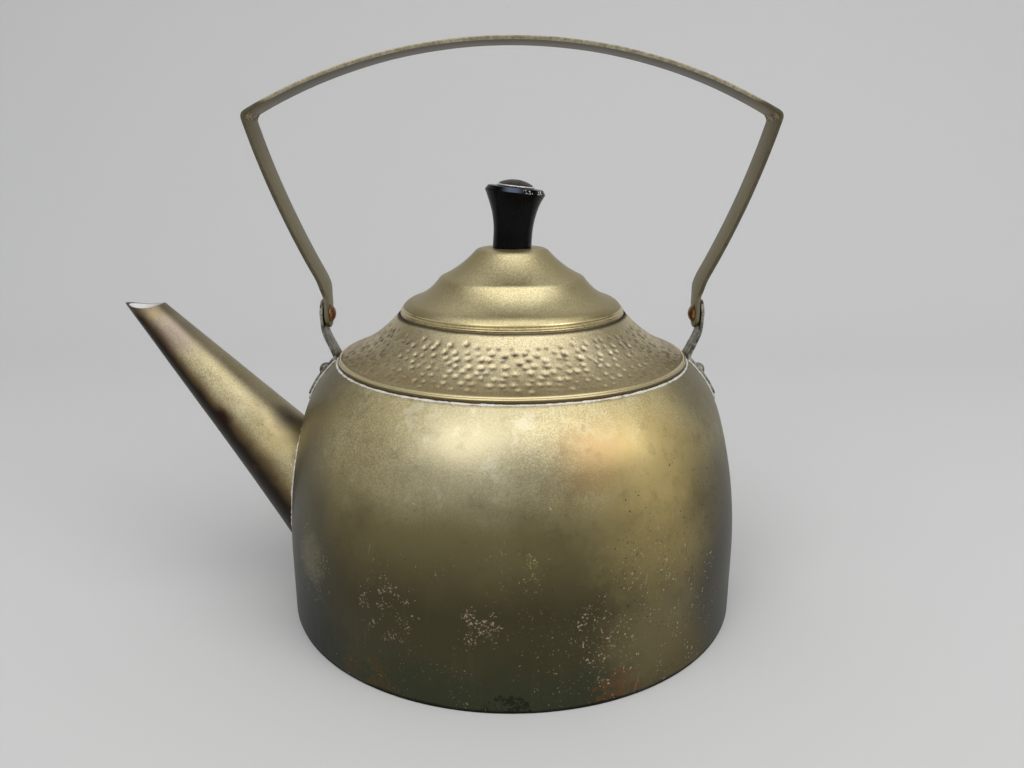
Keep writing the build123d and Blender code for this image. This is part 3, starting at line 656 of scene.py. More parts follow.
strip = {"grainSize": 0.8, "bump": 0.4}
handleBrass = metalFinish("handleBrass", {
    **strip, "light": (150, 142, 120), "dark": (112, 104, 86), "roughness": (0.42, 0.55)}, [
    coat(patches, size=12, threshold=0.5, softness=0.2, strength=0.35, over=(96, 88, 72)),
])
handleInner = metalFinish("handleInner", {
    **strip, "light": (154, 143, 111), "dark": (120, 109, 83), "roughness": (0.42, 0.55)}, [
    # painted shade: the inner skin darkens up the legs and under the arch
    coat(heights, low=158, high=200, waver=12, strength=0.5, over=(98, 86, 68)),
    coat(heights, low=198.5, high=201.5, waver=1, strength=1, over=(108, 101, 90), rough=0.5),
    coat(patches, size=14, threshold=0.5, softness=0.2, strength=0.25, over=(84, 76, 62)),
])
handleEdge = metalFinish("handleEdge", {
    "light": (196, 186, 160), "dark": (140, 130, 106), "roughness": (0.35, 0.5), "grainSize": 1.2,
    "bump": 0.5}, [
    coat(patches, size=4, threshold=0.5, softness=0.2, strength=0.4, over=(96, 88, 72)),
    # painted shade: the edges of the legs are dark, below the arch
    coat(heights, low=201, high=198.5, waver=1.5, strength=0.85, over=(80, 74, 61), rough=0.5),
    coat(heights, low=130, high=126, waver=1.5, strength=0.6, over=(150, 140, 116), rough=0.5),
])
brazeGold = metalFinish("brazeGold", {
    "light": (168, 150, 106), "dark": (74, 62, 42), "roughness": (0.35, 0.5), "toneRange": (0.4, 0.6),
    "grainSize": 1.2, "bump": 0.8, "bumpDepth": 0.2}, [
    coat(flecks, size=1.6, cut=0.54, crowding=4, threshold=0.34, strength=0.9, over=(40, 33, 24), rough=0.7),
])
lugMetal = metalFinish("lugMetal", {
    "light": (182, 178, 168), "dark": (104, 101, 92), "roughness": (0.36, 0.55), "toneRange": (0.38, 0.62),
    "grainSize": 1.4, "bump": 0.6, "bumpDepth": 0.1}, [
    coat(patches, size=4, threshold=0.5, softness=0.12, strength=0.7, over=(52, 50, 44), rough=0.6),
])
solderTin = metalFinish("solderTin", {
    "light": (250, 247, 238), "dark": (206, 200, 190), "roughness": (0.4, 0.6), "metallic": 0.25,
    "grainSize": 0.8, "bump": 0.6}, [
    coat(patches, size=5, threshold=0.58, softness=0.12, strength=0.6, over=(134, 120, 98), rough=0.6),
])
copperHead = metalFinish("copperHead", {
    "light": (166, 128, 98), "dark": (104, 76, 54), "roughness": (0.26, 0.4), "toneRange": (0.38, 0.62),
    "grainSize": 1.4, "bump": 0.4}, [
    coat(patches, size=3, threshold=0.52, softness=0.15, strength=0.6, over=(66, 46, 32), rough=0.5),
])
darkRivet = metalFinish("darkRivet", {
    "light": (104, 96, 92), "dark": (60, 54, 50), "roughness": (0.35, 0.5), "grainSize": 0.9, "bump": 0.4}, [
    coat(patches, size=2.5, threshold=0.5, softness=0.2, strength=0.5, over=(36, 32, 28), rough=0.6),
])
brightRing = metalFinish("brightRing", {
    "light": (250, 248, 242), "dark": (220, 216, 206), "roughness": (0.2, 0.35), "metallic": 0.4,
    "grainSize": 0.8, "bump": 0.15}, [
    coat(patches, size=2.5, threshold=0.6, softness=0.1, strength=0.5, over=(110, 104, 92), rough=0.5),
])
turnedBlack = {"light": (6, 6, 8), "dark": (3, 3, 4), "roughness": (0.2, 0.32), "metallic": 0.0,
               "specular": 0.1, "grainSize": 1.4, "grainStretch": (1.0, 1.0, 0.06), "bump": 0.2}
blackKnob = metalFinish("blackKnob", turnedBlack, [
    coat(flecks, size=1.6, cut=0.66, crowding=8, threshold=0.5, strength=0.35, over=(48, 52, 58), rough=0.5),
])
knobRim = metalFinish("knobRim", turnedBlack, [
    # painted highlight: a pale blue glint on the front of the bevel
    coat(spot, place=(0, -11, 167.4), reach=4.5, waver=3, strength=0.55, over=(112, 124, 146), rough=0.25),
    coat(flecks, size=1.1, cut=0.52, crowding=3, threshold=0.34, place=(8, -8.5, 166.8), reach=6,
         strength=0.95, over=(232, 232, 228), rough=0.5),
])
baseBrass = metalFinish("baseBrass", {
    "light": (150, 132, 92), "dark": (104, 90, 60), "roughness": (0.4, 0.6), "grainSize": 0.7, "bump": 0.4}, [
    coat(patches, size=26, threshold=0.45, softness=0.2, strength=0.6, over=(62, 48, 34), rough=0.6),
    coat(flecks, size=1.4, cut=0.6, crowding=14, threshold=0.48, strength=0.8, over=(26, 22, 18), rough=0.7),
])
tinned = {"grainSize": 0.9, "bump": 0.3}
lipTin = metalFinish("lipTin", {
    **tinned, "light": (252, 251, 248), "dark": (236, 234, 228), "roughness": (0.5, 0.7), "metallic": 0.0}, [
    coat(patches, size=6, threshold=0.58, softness=0.14, strength=0.3, over=(190, 186, 172), rough=0.6),
])
innerTin = metalFinish("innerTin", {
    **tinned, "light": (232, 230, 222), "dark": (206, 202, 190), "roughness": (0.35, 0.5), "metallic": 0.5}, [
    coat(patches, size=14, threshold=0.55, softness=0.2, strength=0.4, over=(150, 142, 122), rough=0.6),
])
print("finishes ready")


# Drum

def boxOf(node):                                   # a node's corners in mm
    low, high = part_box(node)
    return Vector(low) / mm, Vector(high) / mm


drumShape = {
    "radius": boxOf("body_shell")[1].x,
    "seat": boxOf("body_shell")[1].z,              # the ledge that the collar stands on
    "straight": 25.0, "straightSteps": 8,          # the wall stands plumb up to here
    "wallCurve": 190.0, "wallSteps": 18,
    "shoulderStart": 80.0, "shoulderCurve": 44.7, "shoulderSteps": 16,
    "footRound": 0.6, "footRise": (0.2, 0.8), "ledge": 4.5, "wall": 1.0, "sides": 224,
    "unevenness": 0.10, "unevenSize": 45,
}
sweep = math.asin((drumShape["shoulderStart"] - drumShape["straight"]) / drumShape["wallCurve"])
wallCentre = drumShape["radius"] - drumShape["wallCurve"]
curveGap = drumShape["wallCurve"] - drumShape["shoulderCurve"]
shoulderCentre = (wallCentre + curveGap * math.cos(sweep), drumShape["straight"] + curveGap * math.sin(sweep))


def shoulderAngle(height):                         # above level, about the shoulder's own centre
    return math.asin((height - shoulderCentre[1]) / drumShape["shoulderCurve"])


def shoulderPoint(angle, off=0.0):
    reach = drumShape["shoulderCurve"] + off
    return (shoulderCentre[0] + reach * math.cos(angle), shoulderCentre[1] + reach * math.sin(angle))


def drumRadiusAt(height):
    if height <= drumShape["straight"]:
        return drumShape["radius"]
    if height <= drumShape["shoulderStart"]:
        return wallCentre + math.sqrt(drumShape["wallCurve"] ** 2 - (height - drumShape["straight"]) ** 2)
    return shoulderPoint(shoulderAngle(height))[0]


def drumLine(off=0.0):                             # from the table up to the collar's seat
    shape = drumShape
    reach = shape["radius"] + off
    line = [(reach - shape["footRound"], 0.0), (reach - shape["footRound"] / 4, shape["footRise"][0]),
            (reach, shape["footRise"][1])]
    steps = shape["straightSteps"]
    line += [(reach, shape["straight"] * step / steps) for step in range(1, steps)]
    line += arcAbout(wallCentre, shape["straight"], shape["wallCurve"] + off, 0, sweep, shape["wallSteps"])
    top = shoulderAngle(shape["seat"])
    shoulder = arcAbout(*shoulderCentre, shape["shoulderCurve"] + off, sweep, top, shape["shoulderSteps"])
    return line + shoulder[1:]


spoutShape = {
    "angle": spoutLean, "rootHeight": 54.4, "rootRadius": 17.7, "tipRadius": 6.2, "length": 85.0,
    "flare": 1.2, "flareLength": 26.0, "flareReach": 61.4, "wall": 0.9,
    "startAt": -36.0, "endAt": 95.0, "rows": 44, "sides": 112, "unevenness": 0.2, "unevenSize": 30,
    "lipHollow": 22.0, "lipHeight": boxOf("mouth_ring")[1].z, "lipSides": 160, "lipReach": 60,
    "intoDrum": 0.4,
    "holeRadius": 15.6, "holeTaper": 0.85, "holeFrom": -18, "holeTo": 20, "holeSides": 72,
}


def spoutRadiusAt(along):
    taper = (spoutShape["rootRadius"] - spoutShape["tipRadius"]) / spoutShape["length"]
    flare = max(0.0, spoutShape["flareLength"] - along) / spoutShape["flareReach"]
    return spoutShape["rootRadius"] - taper * along + spoutShape["flare"] * flare * flare


def leanOut(piece):                                # from upright to the spout's own line
    settle(piece, (-drumShape["radius"], 0, spoutShape["rootHeight"]), (0, spoutShape["angle"] - 90, 0))


def makeDrum():
    ledgeEnd = (drumRadiusAt(drumShape["seat"]) - drumShape["ledge"], drumShape["seat"])
    drum = ringStack(drumLine() + [ledgeEnd], drumShape["sides"])
    roughen(drum, drumShape["unevenSize"], drumShape["unevenness"])
    thicken(drum, drumShape["wall"])
    radius = spoutShape["holeRadius"]
    rings = [(radius, spoutShape["holeFrom"]), (radius * spoutShape["holeTaper"], spoutShape["holeTo"])]
    hole = ringStack(rings, spoutShape["holeSides"], True, True)
    leanOut(hole)
    cutWith(drum, hole)
    finishPiece(drum, "drum", "kettle", [drumBrass, innerTin], "body_shell")


makeDrum()


# Base dish

baseShape = {
    "radius": 91.2, "corner": 1.0, "cornerSteps": 5, "flange": 7.2, "plate": 1.2, "sides": 160,
    # radii and heights from the flat rim over a pressed ring to the middle
    "floor": ((84.0, 0.0), (74.0, 0.0), (73.0, 0.35), (71.0, 0.35), (70.0, 0.1), (50.0, 0.15),
              (25.0, 0.2), (6.0, 0.2)),
}


def makeBase():
    shape = baseShape
    low = shape["radius"] - shape["corner"]
    rings = [(shape["radius"], shape["flange"]), (shape["radius"], shape["corner"])]
    rings += arcAbout(low, shape["corner"], shape["corner"], 0, -math.pi / 2, shape["cornerSteps"])[1:]
    rings += shape["floor"]
    base = ringStack(rings, shape["sides"], False, True)
    thicken(base, shape["plate"])
    finishPiece(base, "baseDish", "kettle", [baseBrass, innerTin], "base_plate")


makeBase()


# Collar with its hammer marks

collarShape = {
    "setBack": 0.45, "bead": 0.9, "beadFrom": -110, "beadTo": 82, "beadSteps": 12, "sag": 1.8, "wall": 1.0,
    "footIn": 2.2, "footUp": 0.02, "creaseIn": 0.25, "creaseUp": -0.12, "slopeIn": 0.7, "slopeUp": 0.35,
    "neckRadius": boxOf("mouth_ring")[1].x + 0.6, "neckHeight": boxOf("mouth_ring")[0].z,
    "sides": 640, "rings": 54,
}
hammer = {
    "rows": 8, "firstRow": 2.5, "rowPitch": 2.9, "markPitch": 4.4, "sway": 0.8, "wander": 0.3, "seed": 11,
    "reach": 1.7, "depth": 0.48, "outerRows": 0.6,   # the outer rows are struck more lightly
    "blows": ((0.3, 0.5, 0.85), (0.75, 1.0, 1.0), (1.0, 1.3, 1.1)),   # up to this weight: depth and reach
    # how the marks are darkened: tarnish round each hollow, dropped below it as painted shade, stronger in
    # the upper rows
    "darkReach": 0.85, "darkDrop": 0.45, "darkLeast": 0.35, "darkUpward": 0.2,
}


def finderOf(piece):                               # finds the vertices near a point
    finder = kdtree.KDTree(len(piece.data.vertices))
    for vertex in piece.data.vertices:
        finder.insert(vertex.co, vertex.index)
    finder.balance()
    return finder


def markHollows(collar, finder, hollows):          # how dark each vertex is painted about the hammer marks, 0 to 1: tarnish in the hollows and painted shade just below each mark
    depths = [0.0] * len(collar.data.vertices)
    reach = hammer["darkReach"] * mm
    for centre, weight in hollows:
        for _, index, away in finder.find_range(centre, 2 * reach):
            depth = weight * max(0.0, min(1.0, 1.5 - away / reach))
            depths[index] = max(depths[index], depth)
    marks = collar.data.attributes.new("hollow", "FLOAT", "POINT")
    marks.data.foreach_set("value", depths)


def placeBlows(collar, finder, slope):             # the vertex and the weight of each blow, row by row
    dice = random.Random(hammer["seed"])
    lengths = [0.0]
    for before, after in zip(slope, slope[1:]):
        lengths.append(lengths[-1] + math.dist(before, after))

    def slopeAt(along):
        return slope[min(range(len(lengths)), key=lambda i: abs(lengths[i] - along))]

    blows = []
    for row in range(hammer["rows"]):
        along = hammer["firstRow"] + row * hammer["rowPitch"]
        marks = int(2 * math.pi * slopeAt(along)[0] / hammer["markPitch"])
        for mark in range(marks):
            radius, height = slopeAt(along + hammer["sway"] * dice.uniform(-1, 1))
            turn = 2 * math.pi * (mark + 0.5 * (row % 2) + hammer["wander"] * dice.uniform(-1, 1)) / marks
            target = Vector((radius * math.cos(turn), radius * math.sin(turn), height)) * mm
            weight = dice.random()
            if row in (0, hammer["rows"] - 1):
                weight *= hammer["outerRows"]
            blows.append((finder.find(target)[1], weight, row))
    return blows


def makeCollar():
    shape = collarShape
    footRadius = drumRadiusAt(drumShape["seat"]) - shape["setBack"]
    beadAt = (footRadius - shape["bead"], drumShape["seat"] + shape["bead"])
    slope = arcBetween((beadAt[0] - shape["slopeIn"], beadAt[1] + shape["bead"] + shape["slopeUp"]),
                       (shape["neckRadius"], shape["neckHeight"]), -shape["sag"], shape["rings"])
    bead = arcAbout(*beadAt, shape["bead"], math.radians(shape["beadFrom"]), math.radians(shape["beadTo"]),
                    shape["beadSteps"])
    foot = [(beadAt[0] - shape["footIn"], drumShape["seat"] + shape["footUp"])]
    crease = [(beadAt[0] - shape["creaseIn"], beadAt[1] + shape["bead"] + shape["creaseUp"])]
    collar = ringStack(foot + bead + crease + slope, shape["sides"])

    finder = finderOf(collar)
    blows = placeBlows(collar, finder, slope)
    hollows = []
    for found, weight, row in blows:               # the mark's shade lies a little below it
        upward = min(1.0, (row + 1) / hammer["rows"] + hammer["darkUpward"])
        dark = (hammer["darkLeast"] + (1 - hammer["darkLeast"]) * weight) * upward
        hollows.append((collar.data.vertices[found].co - Vector((0, 0, hammer["darkDrop"] * mm)), dark))
    markHollows(collar, finder, hollows)
    lightest = 0.0
    for heaviest, depth, reach in hammer["blows"]:
        chosen = {found for found, weight, _ in blows if lightest <= weight < heaviest}
        selectPoints(collar, lambda vertex: vertex.index in chosen)
        bpy.ops.transform.shrink_fatten(
            value=-hammer["depth"] * depth * mm, use_even_offset=False, use_proportional_edit=True,
            proportional_edit_falloff="SMOOTH", proportional_size=hammer["reach"] * reach * mm)
        leaveEdit()
        lightest = heaviest
    thicken(collar, shape["wall"])
    finishPiece(collar, "hammeredCollar", "kettle", [collarBrass, innerTin],
                "shoulder_collar", 60)


makeCollar()


# Mouth ring, with the fine lines turned into its edge

mouthShape = {
    "bore": 41.6, "outer": boxOf("mouth_ring")[1].x, "low": boxOf("mouth_ring")[0].z,
    "high": boxOf("mouth_ring")[1].z, "skirt": 0.5, "footIn": 1.2, "sides": 192,
    "bead": 0.36, "beads": 3, "beadGap": 0.06, "beadTurn": 75, "beadSteps": 6, "setIn": 0.1,
    "edgeIn": 0.9, "edgeDown": 0.1, "topIn": 1.1, "boreRound": 0.2,
}


def makeMouthRing():
    shape = mouthShape
    bottom = shape["low"] - shape["skirt"]
    rings = [(shape["bore"], bottom), (shape["outer"] - shape["footIn"], bottom)]
    middle = shape["outer"] - shape["bead"]
    turn = math.radians(shape["beadTurn"])
    for number in range(shape["beads"]):
        height = bottom + shape["bead"] + number * (2 * shape["bead"] + shape["beadGap"])
        rings += arcAbout(middle - shape["setIn"] * number, height, shape["bead"], -turn, turn,
                          shape["beadSteps"])
    rings += [(shape["outer"] - shape["edgeIn"], shape["high"] - shape["edgeDown"]),
              (shape["outer"] - shape["topIn"], shape["high"]),
              (shape["bore"] + shape["boreRound"], shape["high"]),
              (shape["bore"], shape["high"] - shape["boreRound"]), (shape["bore"], bottom)]
    ring = ringStack(rings, shape["sides"])
    finishPiece(ring, "mouthRing", "kettle", [ringBrass], "mouth_ring", 60)


makeMouthRing()


# Lid

lidShape = {
    "rim": boxOf("lid_shell")[1].x, "seat": boxOf("mouth_ring")[1].z, "top": boxOf("lid_shell")[1].z,
    "flankIn": 4.3, "flankUp": 3.5, "rimSag": 0.6, "rimRound": 0.3, "step": (28.7, 12.1), "crown": 13.7,
    "lowerSag": 1.1, "upperSag": 1.1, "stepRound": 0.9, "crownRound": 1.8, "hole": 2.5, "wall": 0.6,
    "lift": 0.05, "under": 2.0, "crownParts": (0.3, 0.6, 0.8, 1), "sides": 192,
    "rimSteps": 10, "lowerSteps": 14, "upperSteps": 14, "roundSteps": 4, "unevenness": 0.1, "unevenSize": 30,
}


def makeLid():
    shape = lidShape
    edge = (shape["rim"], shape["seat"] + shape["lift"] + shape["rimRound"])
    flankFoot = (shape["rim"] - shape["flankIn"], shape["seat"] + shape["flankUp"])
    step = (shape["step"][0], shape["seat"] + shape["step"][1])
    crown = (shape["crown"], shape["top"])
    line = arcBetween(edge, flankFoot, shape["rimSag"], shape["rimSteps"])
    line += arcBetween(flankFoot, step, -shape["lowerSag"], shape["lowerSteps"])[1:]
    line += arcBetween(step, crown, -shape["upperSag"], shape["upperSteps"])[1:]
    line += [(crown[0] + (shape["hole"] - crown[0]) * part, shape["top"]) for part in shape["crownParts"]]
    line = roundCorner(line, flankFoot, shape["stepRound"])
    line = roundCorner(line, step, shape["stepRound"])
    line = roundCorner(line, crown, shape["crownRound"])
    below = arcAbout(shape["rim"] - shape["rimRound"], edge[1], shape["rimRound"], -math.pi / 2, 0,
                     shape["roundSteps"])[:-1]
    inner = [(shape["rim"] - shape["under"], shape["seat"] + shape["lift"])]
    lid = ringStack(inner + below + line, shape["sides"])
    roughen(lid, shape["unevenSize"], shape["unevenness"])
    thicken(lid, shape["wall"])
    finishPiece(lid, "lidDome", "lid", [lidBrass, innerTin], "lid_shell", 60)


makeLid()


# Knob, its bright ring and the long rivet, all on one leaning line

knobShape = {
    "lean": 3.5, "foot": boxOf("lid_shell")[1].z, "sunk": 1.4, "stem": 7.65, "stemUp": 4.9,
    "rim": 11.85, "rimAt": 21.4, "top": 23.3, "tilt": 3.0, "tiltReach": 8.0, "chamfer": 1.1, "edge": 0.25,
    "stemStep": 1.5, "flankSteps": 18, "rimEase": 0.05, "topEase": (0.4, 0.1), "flatIn": 1.5, "bore": 3.0,
    "ring": 7.5, "ringRound": 0.3, "ringHeight": 1.0, "ringGap": 0.2, "sides": 96, "smallSides": 72,
    "dome": 6.8, "domeHeight": 1.8, "domeLift": 0.15, "domeEdge": 0.1, "shank": 2.0,
    "tail": 3.4, "tailHeight": 1.4, "tailDrop": 1.7,
}


def leanKnob(piece):
    settle(piece, (0, 0, knobShape["foot"]), (0, knobShape["lean"], 0))


def tiltTop(piece, above, reach):                  # the knob's top leans further than its stem
    selectPoints(piece, lambda vertex: vertex.co.z > above * mm)
    bpy.ops.transform.rotate(value=-math.radians(knobShape["tilt"]), orient_axis="Y", orient_type="GLOBAL",
                             center_override=(0, 0, knobShape["top"] * mm), use_proportional_edit=reach > 0,
                             proportional_edit_falloff="SMOOTH", proportional_size=max(reach, 0.1) * mm)
    leaveEdit()


def makeKnob():
    shape = knobShape
    stem, rim, top = shape["stem"], shape["rim"], shape["top"]
    flank = arcLeaving((stem, shape["stemUp"]), (0, 1), (rim, shape["rimAt"]), shape["flankSteps"])
    bevelIn = rim - shape["chamfer"]
    easeIn, easeDown = shape["topEase"]
    rings = [(stem, -shape["sunk"]), (stem, 0.0), (stem, shape["stemStep"])] + flank
    rings += [(rim - shape["rimEase"], shape["rimAt"] + shape["edge"]),
              (rim - shape["edge"], shape["rimAt"] + 2 * shape["edge"]),
              (bevelIn, top - easeDown), (bevelIn - easeIn, top), (bevelIn - shape["flatIn"], top),
              (shape["ring"] - 1, top), (shape["bore"], top)]
    knob = ringStack(rings, shape["sides"], True, True)
    for face in knob.data.polygons:                # the bevel round the top has its own finish, with a painted highlight
        onBevel = shape["rimAt"] + shape["edge"] < face.center.z / mm < top - easeDown / 2
        face.material_index = 1 if onBevel and face.center.xy.length > (bevelIn - 0.3) * mm else 0
    tiltTop(knob, shape["rimAt"] - 0.1, shape["tiltReach"])
    leanKnob(knob)
    editAll(knob)
    bpy.ops.mesh.bisect(plane_co=(0, 0, shape["foot"] * mm), plane_no=(0, 0, 1), use_fill=True,
                        clear_inner=True)
    leaveEdit()
    tidyFaces(knob)
    finishPiece(knob, "knob", "lid", [blackKnob, knobRim], "lid_knob", 35)

    high = top + shape["ringHeight"]
    bore = shape["shank"] + shape["ringGap"]
    rounded = arcAbout(shape["ring"] - shape["ringRound"], (top + high) / 2, shape["ringRound"],
                       -math.pi / 2, math.pi / 2, 6)
    ring = ringStack([(bore, top)] + rounded + [(bore, high), (bore, top)], shape["smallSides"])
    tiltTop(ring, 0, 0)
    leanKnob(ring)
    finishPiece(ring, "knobRing", "lid", [brightRing], "knob_cup_washer")

    tail = domeLine(shape["tail"], shape["tailHeight"], -shape["tailDrop"], 6, -1)
    dome = domeLine(shape["dome"], shape["domeHeight"], high + shape["domeLift"], 14)
    rings = list(reversed(tail)) + [(shape["shank"], -shape["tailDrop"]), (shape["shank"], high)]
    rings += [(shape["dome"] - shape["domeEdge"], high)] + dome
    rivet = ringStack(rings, shape["smallSides"], True, True)
    tiltTop(rivet, top, 0)
    leanKnob(rivet)
    finishPiece(rivet, "knobRivet", "lid", [darkRivet], "knob_rivet")


makeKnob()


# Spout, with the solder that holds it

spoutSolderShape = {"points": 150, "halvings": 24, "far": 50.0, "thick": 0.5, "unevenness": 0.9, "seed": 5}


def spoutPoint(turn, along):                       # on the cone, in mm
    angle = math.radians(spoutShape["angle"])
    reach = spoutRadiusAt(along)
    up = reach * math.cos(turn)
    return Vector((-drumShape["radius"] - along * math.cos(angle) + up * math.sin(angle),
                   reach * math.sin(turn),
                   spoutShape["rootHeight"] + along * math.sin(angle) + up * math.cos(angle)))


def spoutRoot():                                   # where the cone meets the drum, by halving
    steps = spoutSolderShape["points"]
    found = []
    for step in range(steps):
        turn = 2 * math.pi * step / steps
        near, far = spoutShape["startAt"], spoutSolderShape["far"]
        for _ in range(spoutSolderShape["halvings"]):
            middle = (near + far) / 2
            point = spoutPoint(turn, middle)
            if point.xy.length < drumRadiusAt(point.z):
                near = middle
            else:
                far = middle
        found.append(spoutPoint(turn, near))
    return found


def makeSpout():
    shape = spoutShape
    whole = shape["endAt"] - shape["startAt"]
    stations = [shape["startAt"] + whole * step / shape["rows"] for step in range(shape["rows"] + 1)]
    spoutPiece = ringStack([(spoutRadiusAt(along), along) for along in stations], shape["sides"])
    roughen(spoutPiece, shape["unevenSize"], shape["unevenness"])
    thicken(spoutPiece, shape["wall"])
    leanOut(spoutPiece)
    cutWith(spoutPiece, ringStack(drumLine(-shape["intoDrum"]), drumShape["sides"], True, True))
    run = (shape["lipHeight"] - shape["rootHeight"]) / math.tan(math.radians(shape["angle"]))
    openClean()
    bpy.ops.mesh.primitive_cylinder_add(vertices=shape["lipSides"], radius=shape["lipHollow"] * mm,
                                        depth=shape["lipReach"] * mm)
    lipCutter = bpy.context.object
    settle(lipCutter, (0, 0, 0), (90, 0, 0))
    settle(lipCutter, (-drumShape["radius"] - run, 0, shape["lipHeight"] + shape["lipHollow"]))
    cutWith(spoutPiece, lipCutter)
    finishPiece(spoutPiece, "spoutTube", "kettle", [spoutBrass, lipTin], "spout", 35)

    line = spoutSolderShape
    solder = beadAlong(spoutRoot(), line["thick"], line["unevenness"], line["seed"])
    finishPiece(solder, "spoutSolder", "kettle", [solderTin], "spout_solder", 80)


makeSpout()


# Solder line under the collar

collarSolderShape = {"thick": 0.5, "drop": 0.3, "setIn": 0.1, "unevenness": 0.6, "points": 360, "seed": 8}


def makeCollarSolder():
    shape = collarSolderShape
    height = drumShape["seat"] - shape["drop"]
    radius = drumRadiusAt(drumShape["seat"]) - shape["setIn"]
    points = [(radius * math.cos(turn), radius * math.sin(turn), height)
              for turn in (2 * math.pi * step / shape["points"] for step in range(shape["points"]))]
    solder = beadAlong(points, shape["thick"], shape["unevenness"], shape["seed"])
    finishPiece(solder, "collarSolder", "kettle", [solderTin], "collar_solder", 80)


makeCollarSolder()


# Bail handle, one strip from eye to eye

pivotLow, pivotHigh = boxOf("rear_pivot_rivet")
pivotHeight = (pivotLow.z + pivotHigh.z) / 2
bailShape = {
    "outer": 74.88, "eye": 5.6, "hole": 2.45, "taperUp": 7.0, "taperRun": 3.5, "half": 8.0, "thick": 1.5,
    "bendUp": 5.5, "bendCurve": 22.0, "bendAngle": 27.5, "cornerOut": 26.4, "cornerUp": 76.6, "archUp": 103.3,
    "bendSteps": 8, "legSteps": 22, "archSteps": 34, "cornerReach": 2.5, "edge": 0.28,
    "holeSides": 40, "holeReach": 12, "unevenness": 0.25, "unevenSize": 40,
}


def bailHalfWidth(height):
    shape = bailShape
    up = height - pivotHeight
    if up < 0:
        return max(1.0, math.sqrt(max(0.0, shape["eye"] ** 2 - up * up)))
    part = min(1.0, max(0.0, (up - shape["taperUp"]) / shape["taperRun"]))
    return shape["eye"] + (shape["half"] - shape["eye"]) * part


def bailLine():                                    # the right half, from the eye's foot to the arch's top
    shape = bailShape
    eye = [(shape["outer"], pivotHeight - shape["eye"] * math.sin(math.radians(angle)))
           for angle in range(84, -1, -12)]
    bendStart = pivotHeight + shape["bendUp"]
    turn = math.radians(shape["bendAngle"])
    bend = arcAbout(shape["outer"] + shape["bendCurve"], bendStart, shape["bendCurve"],
                    math.pi, math.pi - turn, shape["bendSteps"])
    corner = (shape["outer"] + shape["cornerOut"], pivotHeight + shape["cornerUp"])
    leg = arcLeaving(bend[-1], (math.sin(turn), math.cos(turn)), corner, shape["legSteps"])
    arch = arcLeaving((0.0, pivotHeight + shape["archUp"]), (1, 0), corner, shape["archSteps"])
    line = eye + bend + leg[1:] + list(reversed(arch))[1:]
    return roundCorner(line, corner, shape["cornerReach"]), leg, arch, corner


def makeBail():
    shape = bailShape
    half = bailLine()[0]
    line = half + [(-x, z) for x, z in reversed(half[:-1])]
    bail = bandAlong([(x, z, bailHalfWidth(z)) for x, z in line], (0, 0, 1))
    roughen(bail, shape["unevenSize"], shape["unevenness"])
    thicken(bail, shape["thick"], 1, 2)
    softEdges(bail, shape["edge"])
    for side in (-1, 1):
        openClean()
        bpy.ops.mesh.primitive_cylinder_add(vertices=shape["holeSides"], radius=shape["hole"] * mm,
                                            depth=shape["holeReach"] * mm)
        drill = bpy.context.object
        settle(drill, (side * shape["outer"], 0, pivotHeight), (0, 90, 0))
        cutWith(bail, drill)
    finishPiece(bail, "bail", "bail", [handleBrass, handleInner, handleEdge],
                "bail_handle", 35)


makeBail()


# Braze in the handle's inner corners

brazeShape = {"leg": 3.0, "hollow": 0.7, "steps": 6, "setIn": 0.7, "overlap": 0.3, "slices": 14,
              "lumps": 0.7, "lumpSize": 1.6}


def makeBraze():
    shape = brazeShape
    _, leg, arch, corner = bailLine()
    alongLeg = (Vector(leg[-3]) - Vector(corner)).normalized()
    alongArch = (Vector(arch[-3]) - Vector(corner)).normalized()
    bisector = (alongLeg + alongArch).normalized()
    inset = (bailShape["thick"] - shape["overlap"]) / math.sin(alongLeg.angle(alongArch) / 2)
    inner = Vector(corner) + bisector * inset
    first = inner + alongLeg * shape["leg"]
    last = inner + alongArch * shape["leg"]
    face = arcBetween(first, last, shape["hollow"], shape["steps"])
    middle = Vector(face[shape["steps"] // 2])
    if (middle - inner).length > ((first + last) / 2 - inner).length:   # the face has to be hollow
        face = arcBetween(first, last, -shape["hollow"], shape["steps"])
    braze = slabOf([tuple(inner)] + face, bailShape["half"] - shape["setIn"], shape["slices"])
    useModifier(braze, "SUBSURF", levels=1, render_levels=1, subdivision_type="SIMPLE")
    roughen(braze, shape["lumpSize"], shape["lumps"])
    joinTo(braze, mirrorCopy(braze))
    tidyFaces(braze)
    finishPiece(braze, "cornerBraze", "bail", [brazeGold], "bail_corner_braze", 60)


makeBraze()


# Lugs, their solder and the four rivets

lugShape = {
    "inner": 75.48, "thick": 1.2, "half": 5.75, "straightDrop": 7.0, "bend": 3.0, "heelDrop": 0.2,
    "footLength": 20.0, "footRound": 3.0, "gap": 0.15, "edge": 0.25, "waist": 0.9, "rivetAlong": 8.4,
    "footRows": (0.0, 0.25, 0.7, 1.4, 2.2, 3.0, 5, 7, 9, 11, 13, 15, 17, 18.5, 20.0),   # from the toe on
    "eyeAngles": (12, 24, 36, 48, 60, 72, 82),
}
filmShape = {
    "ahead": 0.025, "past": 0.01, "rows": 14, "lift": 0.35, "toeWide": 0.4, "wide": 1.5, "thick": 0.5,
    "lumps": 0.5, "lumpSize": 1.8,
}
rivetShape = {
    "headAt": 73.23, "head": 3.7, "headHeight": 1.9, "headSteps": 9, "shank": 2.4,
    "tailAt": 76.68, "tail": 3.4, "tailHeight": 1.3, "tailSteps": 7, "tailLook": 0.5,
    "sides": 56, "unevenness": 0.25, "unevenSize": 3.5,
}
